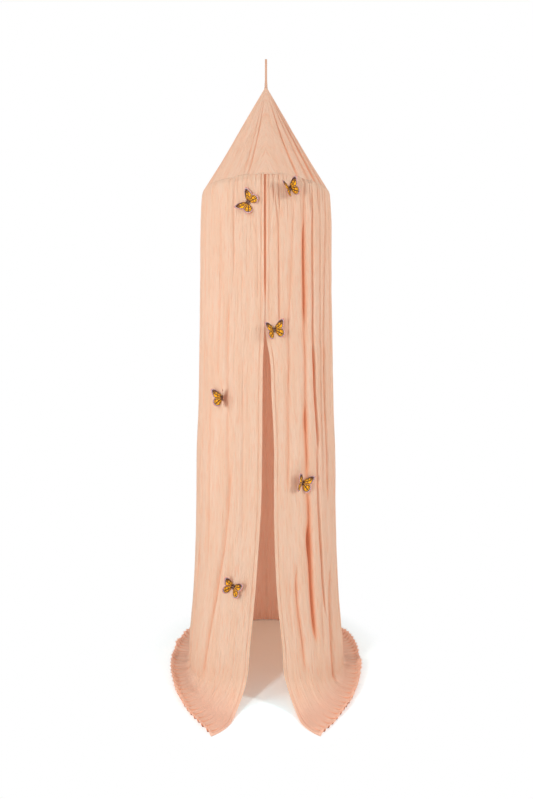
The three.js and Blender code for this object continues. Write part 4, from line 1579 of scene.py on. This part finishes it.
@dataclass
class Butterflies:
    """Six cloth butterflies, sewn on by their bodies.

    A lobe's outline runs from its front edge round to its back edge, in shares of the wing's length, out
    and to the head. A body's parts are its head, chest and tail, each with a centre and half its size.
    """

    maker: Maker
    joints: list[dict[str, object]]
    wing: float = 0.046
    wing_thickness: float = 0.00035
    veins: float = 6.5
    vein_height: float = 0.00022
    camber: float = 0.0009
    lobe_gap: float = 0.0004
    curl: float = 0.0007
    curls: float = 9
    swarm: tuple[Butterfly, ...] = (
        Butterfly(1, "canopy", -14.5, -58, 16, 14, 5, 5),
        Butterfly(2, "canopy", 19.8, -23, 52, 58, 18, 12),
        Butterfly(3, "right_flap", 6.6, -12, 53, 26, 28, 8),
        Butterfly(4, "left_flap", -37.2, -3, 30, 43, 6, -8),
        Butterfly(5, "right_flap", 29.6, 16, 50, 18, 42, 6),
        Butterfly(6, "left_flap", -24.5, 20, 48, 26, 6, 7),
    )
    fore: Outline = (
        ((0.0, 0.13), (0.16, 0.37), (0.33, 0.52), (0.52, 0.66), (0.70, 0.73), (0.84, 0.74), (0.89, 0.66))
        + ((0.87, 0.50), (0.80, 0.29), (0.70, 0.07), (0.52, -0.02), (0.26, -0.04), (0.0, -0.03))
    )
    hind: Outline = (
        ((0.0, 0.06), (0.20, 0.10), (0.42, 0.10), (0.59, 0.03), (0.71, -0.10), (0.77, -0.30), (0.73, -0.48))
        + ((0.62, -0.62), (0.45, -0.69), (0.27, -0.66), (0.13, -0.49), (0.05, -0.28), (0.0, -0.13))
    )
    body_parts: tuple[tuple[Triple, Triple], ...] = (
        ((0, 0.0092, 0.0004), (0.0014, 0.0015, 0.0014)),
        ((0, 0.0042, 0.0003), (0.0017, 0.0036, 0.0017)),
        ((0, -0.0035, 0.0002), (0.0014, 0.0054, 0.0014)),
        ((0, -0.0090, 0.0), (0.0010, 0.0034, 0.0010)),
    )
    feeler_steps: int = 9
    feeler_sides: int = 6
    feeler_foot: Triple = (0.0004, 0.0096, 0.0006)
    feeler_run: Triple = (0.0046, 0.0095, 0.0022)
    feeler_splay: float = 1.3
    feeler_radius: float = 0.00018
    club: float = 0.00022
    club_share: float = 0.2

    def build(self) -> None:
        """Builds every butterfly."""
        over = WingFinish(
            "wing_print",
            bright=(1.0, 0.51, 0.007),
            warm=(1.0, 0.36, 0.004),
            vein=(0.07, 0.022, 0.022),
            rim=(0.58, 0.45, 0.48),
            piping=(0.80, 0.30, 0.24),
        ).material()
        under = WingFinish(
            "wing_under",
            bright=(0.85, 0.40, 0.10),
            warm=(0.74, 0.34, 0.12),
            vein=(0.18, 0.07, 0.04),
            rim=(0.42, 0.31, 0.32),
            piping=(0.42, 0.15, 0.10),
        ).material()
        thread = ThreadFinish().material()
        hinges = {str(joint["child"]): Vector(joint["pos_m"]) for joint in self.joints}
        for butterfly in self.swarm:
            name = f"butterfly_{butterfly.number}"
            left, right = hinges[f"{name}_left_wing"], hinges[f"{name}_right_wing"]
            turn = self._turn(butterfly)
            self._body(butterfly, (left + right) / 2, turn, thread)
            self._wing(butterfly, -1, left, turn, over, under)
            self._wing(butterfly, 1, right, turn, over, under)

    def _turn(self, butterfly: Butterfly) -> Matrix:
        """The butterfly's own axes.

        Args:
            butterfly: The butterfly.

        Returns:
            A turn with x to the right across the cloth, y to the head and z off the cloth.
        """
        angle = math.radians(butterfly.angle)
        out = Vector((math.sin(angle), -math.cos(angle), 0))
        right = Vector((math.cos(angle), math.sin(angle), 0))
        upright = Matrix((right, Vector((0, 0, 1)), out)).transposed()
        return upright @ Matrix.Rotation(-math.radians(butterfly.lean), 3, "Z")

    def _lobe(self, outline: Outline, along: int, across: int) -> tuple[Grid, Grid]:
        """A flat lobe.

        Args:
            outline: Its outline.
            along: How many points it has round its rim.
            across: How many points it has from the hinge out.

        Returns:
            Its points in the wing's plane, and their places on its map.
        """
        knots = np.array(outline)
        run = distances(knots)
        run /= run[-1]
        even = np.linspace(0, 1, along)
        rim = np.stack([Curve(tuple(zip(run, part))).at(even) for part in knots.T], axis=-1)
        root = np.stack([np.zeros(along), np.linspace(knots[0, 1], knots[-1, 1], along) * 0.9], axis=-1)
        out = shares(across)[..., None]
        points = root[None] * (1 - out) + rim[None] * out
        return points, stacked(even[None, :], out[..., 0])

    def _wing(
        self,
        butterfly: Butterfly,
        side: int,
        hinge: Vector,
        turn: Matrix,
        over: bpy.types.Material,
        under: bpy.types.Material,
    ) -> None:
        """Builds one wing of two overlapping lobes, curved along its veins.

        Args:
            butterfly: The butterfly it is on.
            side: -1 on the left and 1 on the right.
            hinge: The middle of the wing's root.
            turn: The butterfly's axes.
            over: The material of its outer face.
            under: The material of its face to the cloth.
        """
        word = "left" if side < 0 else "right"
        name = f"butterfly_{butterfly.number}_{word}"
        lift = butterfly.left if side < 0 else butterfly.right
        bend = math.radians(butterfly.left_bend if side < 0 else butterfly.right_bend) / self.wing
        lobes = []
        for index, (outline, along, across) in enumerate(((self.fore, 56, 26), (self.hind, 52, 24))):
            plane, places = self._lobe(outline, along, across)
            out, head = plane[..., 0] * self.wing, plane[..., 1] * self.wing
            around, rimwards = places[..., 0], places[..., 1]
            reach = np.hypot(out, head) / self.wing
            veins = np.cos(around * self.veins * 2 * math.pi) * self.vein_height * eased(reach * 3)
            camber = self.camber * reach**3 - self.lobe_gap * index - (1 - np.cos(bend * out)) / bend
            waves = np.sin(around * self.curls + butterfly.number)
            curl = self.curl * eased((rimwards - 0.85) / 0.15) * waves
            points = stacked(side * np.sin(bend * out) / bend, head, camber + veins + curl)[:, ::-side]
            marks = {"lobe": np.full(points.shape[:2], float(index))}
            lobes.append(self.maker.grid_mesh(f"{name}_lobe_{index}", points, places[:, ::-side], marks))
        piece = self._joined(f"{name}_wing_cloth", lobes)
        lifted = Matrix.Rotation(-side * math.radians(lift), 3, "Y")
        piece.data.transform((turn @ lifted).to_4x4())
        piece.data.transform(Matrix.Translation(hinge))
        self.maker.thicken(piece, self.wing_thickness, under=1)
        self.maker.dress(piece, "wing_cloth", over, under)
        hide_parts(f"{name}_wing")
        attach(piece, f"{name}_wing")

    def _joined(self, name: str, parts: list[bpy.types.Object]) -> bpy.types.Object:
        """Puts several pieces' meshes together.

        Args:
            name: The whole piece's name.
            parts: The pieces, which are taken away.

        Returns:
            The whole piece.
        """
        shape = bmesh.new()
        for part in parts:
            shape.from_mesh(part.data)
        mesh = parts[0].data
        shape.to_mesh(mesh)
        shape.free()
        mesh.name = name
        for part in parts:
            bpy.data.objects.remove(part)
        return linked(name, mesh)

    def _body(self, butterfly: Butterfly, middle: Vector, turn: Matrix, thread: bpy.types.Material) -> None:
        """Builds a body of a head, a chest and a tapering tail, with two feelers.

        Args:
            butterfly: The butterfly it belongs to.
            middle: The body's middle.
            turn: The butterfly's axes.
            thread: The body's material.
        """
        shape = bmesh.new()
        for centre, size in self.body_parts:
            verts = bmesh.ops.create_uvsphere(shape, u_segments=16, v_segments=12, radius=1)["verts"]
            bmesh.ops.rotate(shape, verts=verts, matrix=Matrix.Rotation(math.pi / 2, 3, "X"))
            bmesh.ops.scale(shape, verts=verts, vec=size)
            bmesh.ops.translate(shape, verts=verts, vec=centre)
        for side in (-1, 1):
            self._feeler(shape, side)
        mesh = mesh_of("thread", shape)
        mesh.shade_smooth()
        mesh.transform(turn.to_4x4())
        mesh.transform(Matrix.Translation(middle))
        piece = linked(f"butterfly_{butterfly.number}_thread", mesh)
        self.maker.dress(piece, "body_thread", thread)
        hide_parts(f"butterfly_{butterfly.number}_body")
        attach(piece, butterfly.body)

    def _feeler(self, shape: bmesh.types.BMesh, side: int) -> None:
        """Adds one feeler with a small club at its end.

        Args:
            shape: The body's shape.
            side: -1 on the left and 1 on the right.
        """
        last = self.feeler_steps - 1
        foot, run = self.feeler_foot, self.feeler_run
        rings = []
        for i in range(self.feeler_steps):
            t = i / last
            out = side * (foot[0] + run[0] * t**self.feeler_splay)
            radius = self.feeler_radius + self.club * max(0.0, t - (1 - self.club_share)) / self.club_share
            circle = {"cap_ends": i in (0, last), "radius": radius, "segments": self.feeler_sides}
            ring = bmesh.ops.create_circle(shape, **circle)["verts"]
            bmesh.ops.rotate(shape, verts=ring, matrix=Matrix.Rotation(-math.pi / 2, 3, "X"))
            bmesh.ops.translate(shape, verts=ring, vec=(out, foot[1] + run[1] * t, foot[2] + run[2] * t))
            rings.append(ring)
        for low, high in zip(rings, rings[1:]):
            edges = dict.fromkeys(e for v in (*low, *high) for e in v.link_edges)
            ends = [e for e in edges if all(v in low for v in e.verts) or all(v in high for v in e.verts)]
            bmesh.ops.bridge_loops(shape, edges=ends)


@dataclass
class Studio:
    """A pale floor, two tall soft lamps, one lamp above and the camera.

    What the camera sees of the floor has one tint near the canopy and another under it, and is plain white
    far off. Both changes lie between two distances from the loop's eye.
    """

    eye_height: float = -1.08
    distance: float = 2.36
    lens: float = 26.85
    shift: float = -0.0841
    surround: float = 0.56
    aside: float = 0.002
    sensor: float = 36
    sight: float = 100
    aim_height: float = -1.25
    floor_size: float = 14
    floor_drop: float = 0.0002
    far: tuple[float, float] = (2.4035, 2.428)
    under: tuple[float, float] = (2.402, 2.392)
    # Painted light: both tints lift green and blue, to take out the pink of the light that the cloth
    # bounces onto the floor near the canopy and into its shadow under it.
    near_tint: Colour = (1.22, 1.34, 1.38)
    under_tint: Colour = (1.12, 1.455, 1.55)
    grey: Colour = (0.82, 0.81, 0.8)

    def build(self) -> None:
        """Sets the stage."""
        self._camera()
        self._floor()
        self._world()
        self._lamp("key", (-1.7, -2.7, -0.95), (0.4, 1.2), 40, (1.0, 0.99, 0.97))
        self._lamp("fill", (2.68, -1.25, -0.35), (0.4, 1.1), 34, (1.0, 0.98, 0.96))
        self._lamp("top", (-2.4, -1.1, 0.7), (1.0, 1.0), 18, (1.0, 1.0, 1.0))

    def _camera(self) -> None:
        """Sets the camera level at the front."""
        data = bpy.data.cameras.new("camera")
        data.lens = self.lens
        data.sensor_width = self.sensor
        data.shift_y = self.shift
        data.clip_end = self.sight
        camera = linked("camera", data)
        camera.location = (self.aside, -self.distance, self.eye_height)
        camera.rotation_euler = (math.pi / 2, 0, 0)
        bpy.context.scene.camera = camera

    def _seen(self, board: Board) -> Wire:
        """1 where the camera, a gloss or clear cloth sees the ground, and 0 where it lights the part."""
        path = board.node("ShaderNodeLightPath")
        glossy = path["Is Camera Ray"].math("MAXIMUM", path["Is Glossy Ray"])
        return glossy.math("MAXIMUM", path["Is Transmission Ray"])

    def _floor(self) -> None:
        """Sets the floor, which looks white where it is lit and keeps the object's shadow."""
        shape = bmesh.new()
        bmesh.ops.create_grid(shape, x_segments=1, y_segments=1, size=self.floor_size)
        bmesh.ops.translate(shape, verts=shape.verts, vec=(0, 0, FLOOR_Z - self.floor_drop))
        floor = linked("floor", mesh_of("floor", shape))
        board = Board.of_material("pale_floor")
        place = board.object_place()
        away = board.node("ShaderNodeVectorMath", {"operation": "LENGTH"}, {0: place})["Value"]
        # Painted light: the tints cancel the pink of the light bounced onto the floor.
        tint = board.mix(away.between(*self.under), self.near_tint, self.under_tint)
        plain = board.node("ShaderNodeBsdfDiffuse", None, {"Color": (*self.grey, 1)})[0]
        lit = board.node("ShaderNodeBsdfDiffuse", None, {"Color": tint})[0]
        blank = board.node("ShaderNodeEmission", None, {"Color": (1, 1, 1, 1), "Strength": 1.0})[0]
        white = board.mixed(away.between(*self.far), lit, blank)
        floor.data.materials.append(board.finish(board.mixed(self._seen(board), plain, white)))

    def _world(self) -> None:
        """Sets a plain surround that lights softly and looks white."""
        world = bpy.data.worlds.new("surround")
        world.use_nodes = True
        board = Board(world)
        lighting = {"Color": (1, 0.995, 0.985, 1), "Strength": self.surround}
        soft = board.node("ShaderNodeBackground", None, lighting)[0]
        white = board.node("ShaderNodeBackground", None, {"Color": (1, 1, 1, 1), "Strength": 1.0})[0]
        both = board.mixed(self._seen(board), soft, white)
        board.node("ShaderNodeOutputWorld", None, {"Surface": both})
        bpy.context.scene.world = world

    def _lamp(
        self, name: str, place: Triple, size: tuple[float, float], power: float, colour: Colour
    ) -> None:
        """Sets a square lamp that faces the middle of the canopy.

        Args:
            name: The lamp's name.
            place: Where it stands.
            size: Its width and height.
            power: Its power in watts.
            colour: Its colour.
        """
        data = bpy.data.lights.new(name, "AREA")
        data.shape = "RECTANGLE"
        data.size, data.size_y = size
        data.energy = power
        data.color = colour
        lamp = linked(name, data)
        lamp.visible_camera = False
        lamp.location = place
        aim = Vector((0, 0, self.aim_height)) - Vector(place)
        lamp.rotation_euler = aim.to_track_quat("-Z", "Y").to_euler()


def main() -> None:
    """Builds the scene."""
    logging.basicConfig(level=logging.INFO, format="%(name)s: %(message)s")
    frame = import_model()
    bpy.context.scene.view_settings.view_transform = "Standard"
    Studio().build()
    maker = Maker()
    gauze = GauzeFinish().material()
    tape = TapeFinish("tape", (0.76, 0.47, 0.34), (0.62, 0.33, 0.22)).material()
    Hoop(maker, gauze).build(frame["nodes"])
    cone = Cone(maker, gauze).build()
    Drapes(maker, gauze, sewn_places(frame["joints"])).build()
    Hanger(maker, tape).build()
    Butterflies(maker, frame["joints"]).build()
    log.info("%d pieces", len(maker.made))


if __name__ == "__main__":
    main()
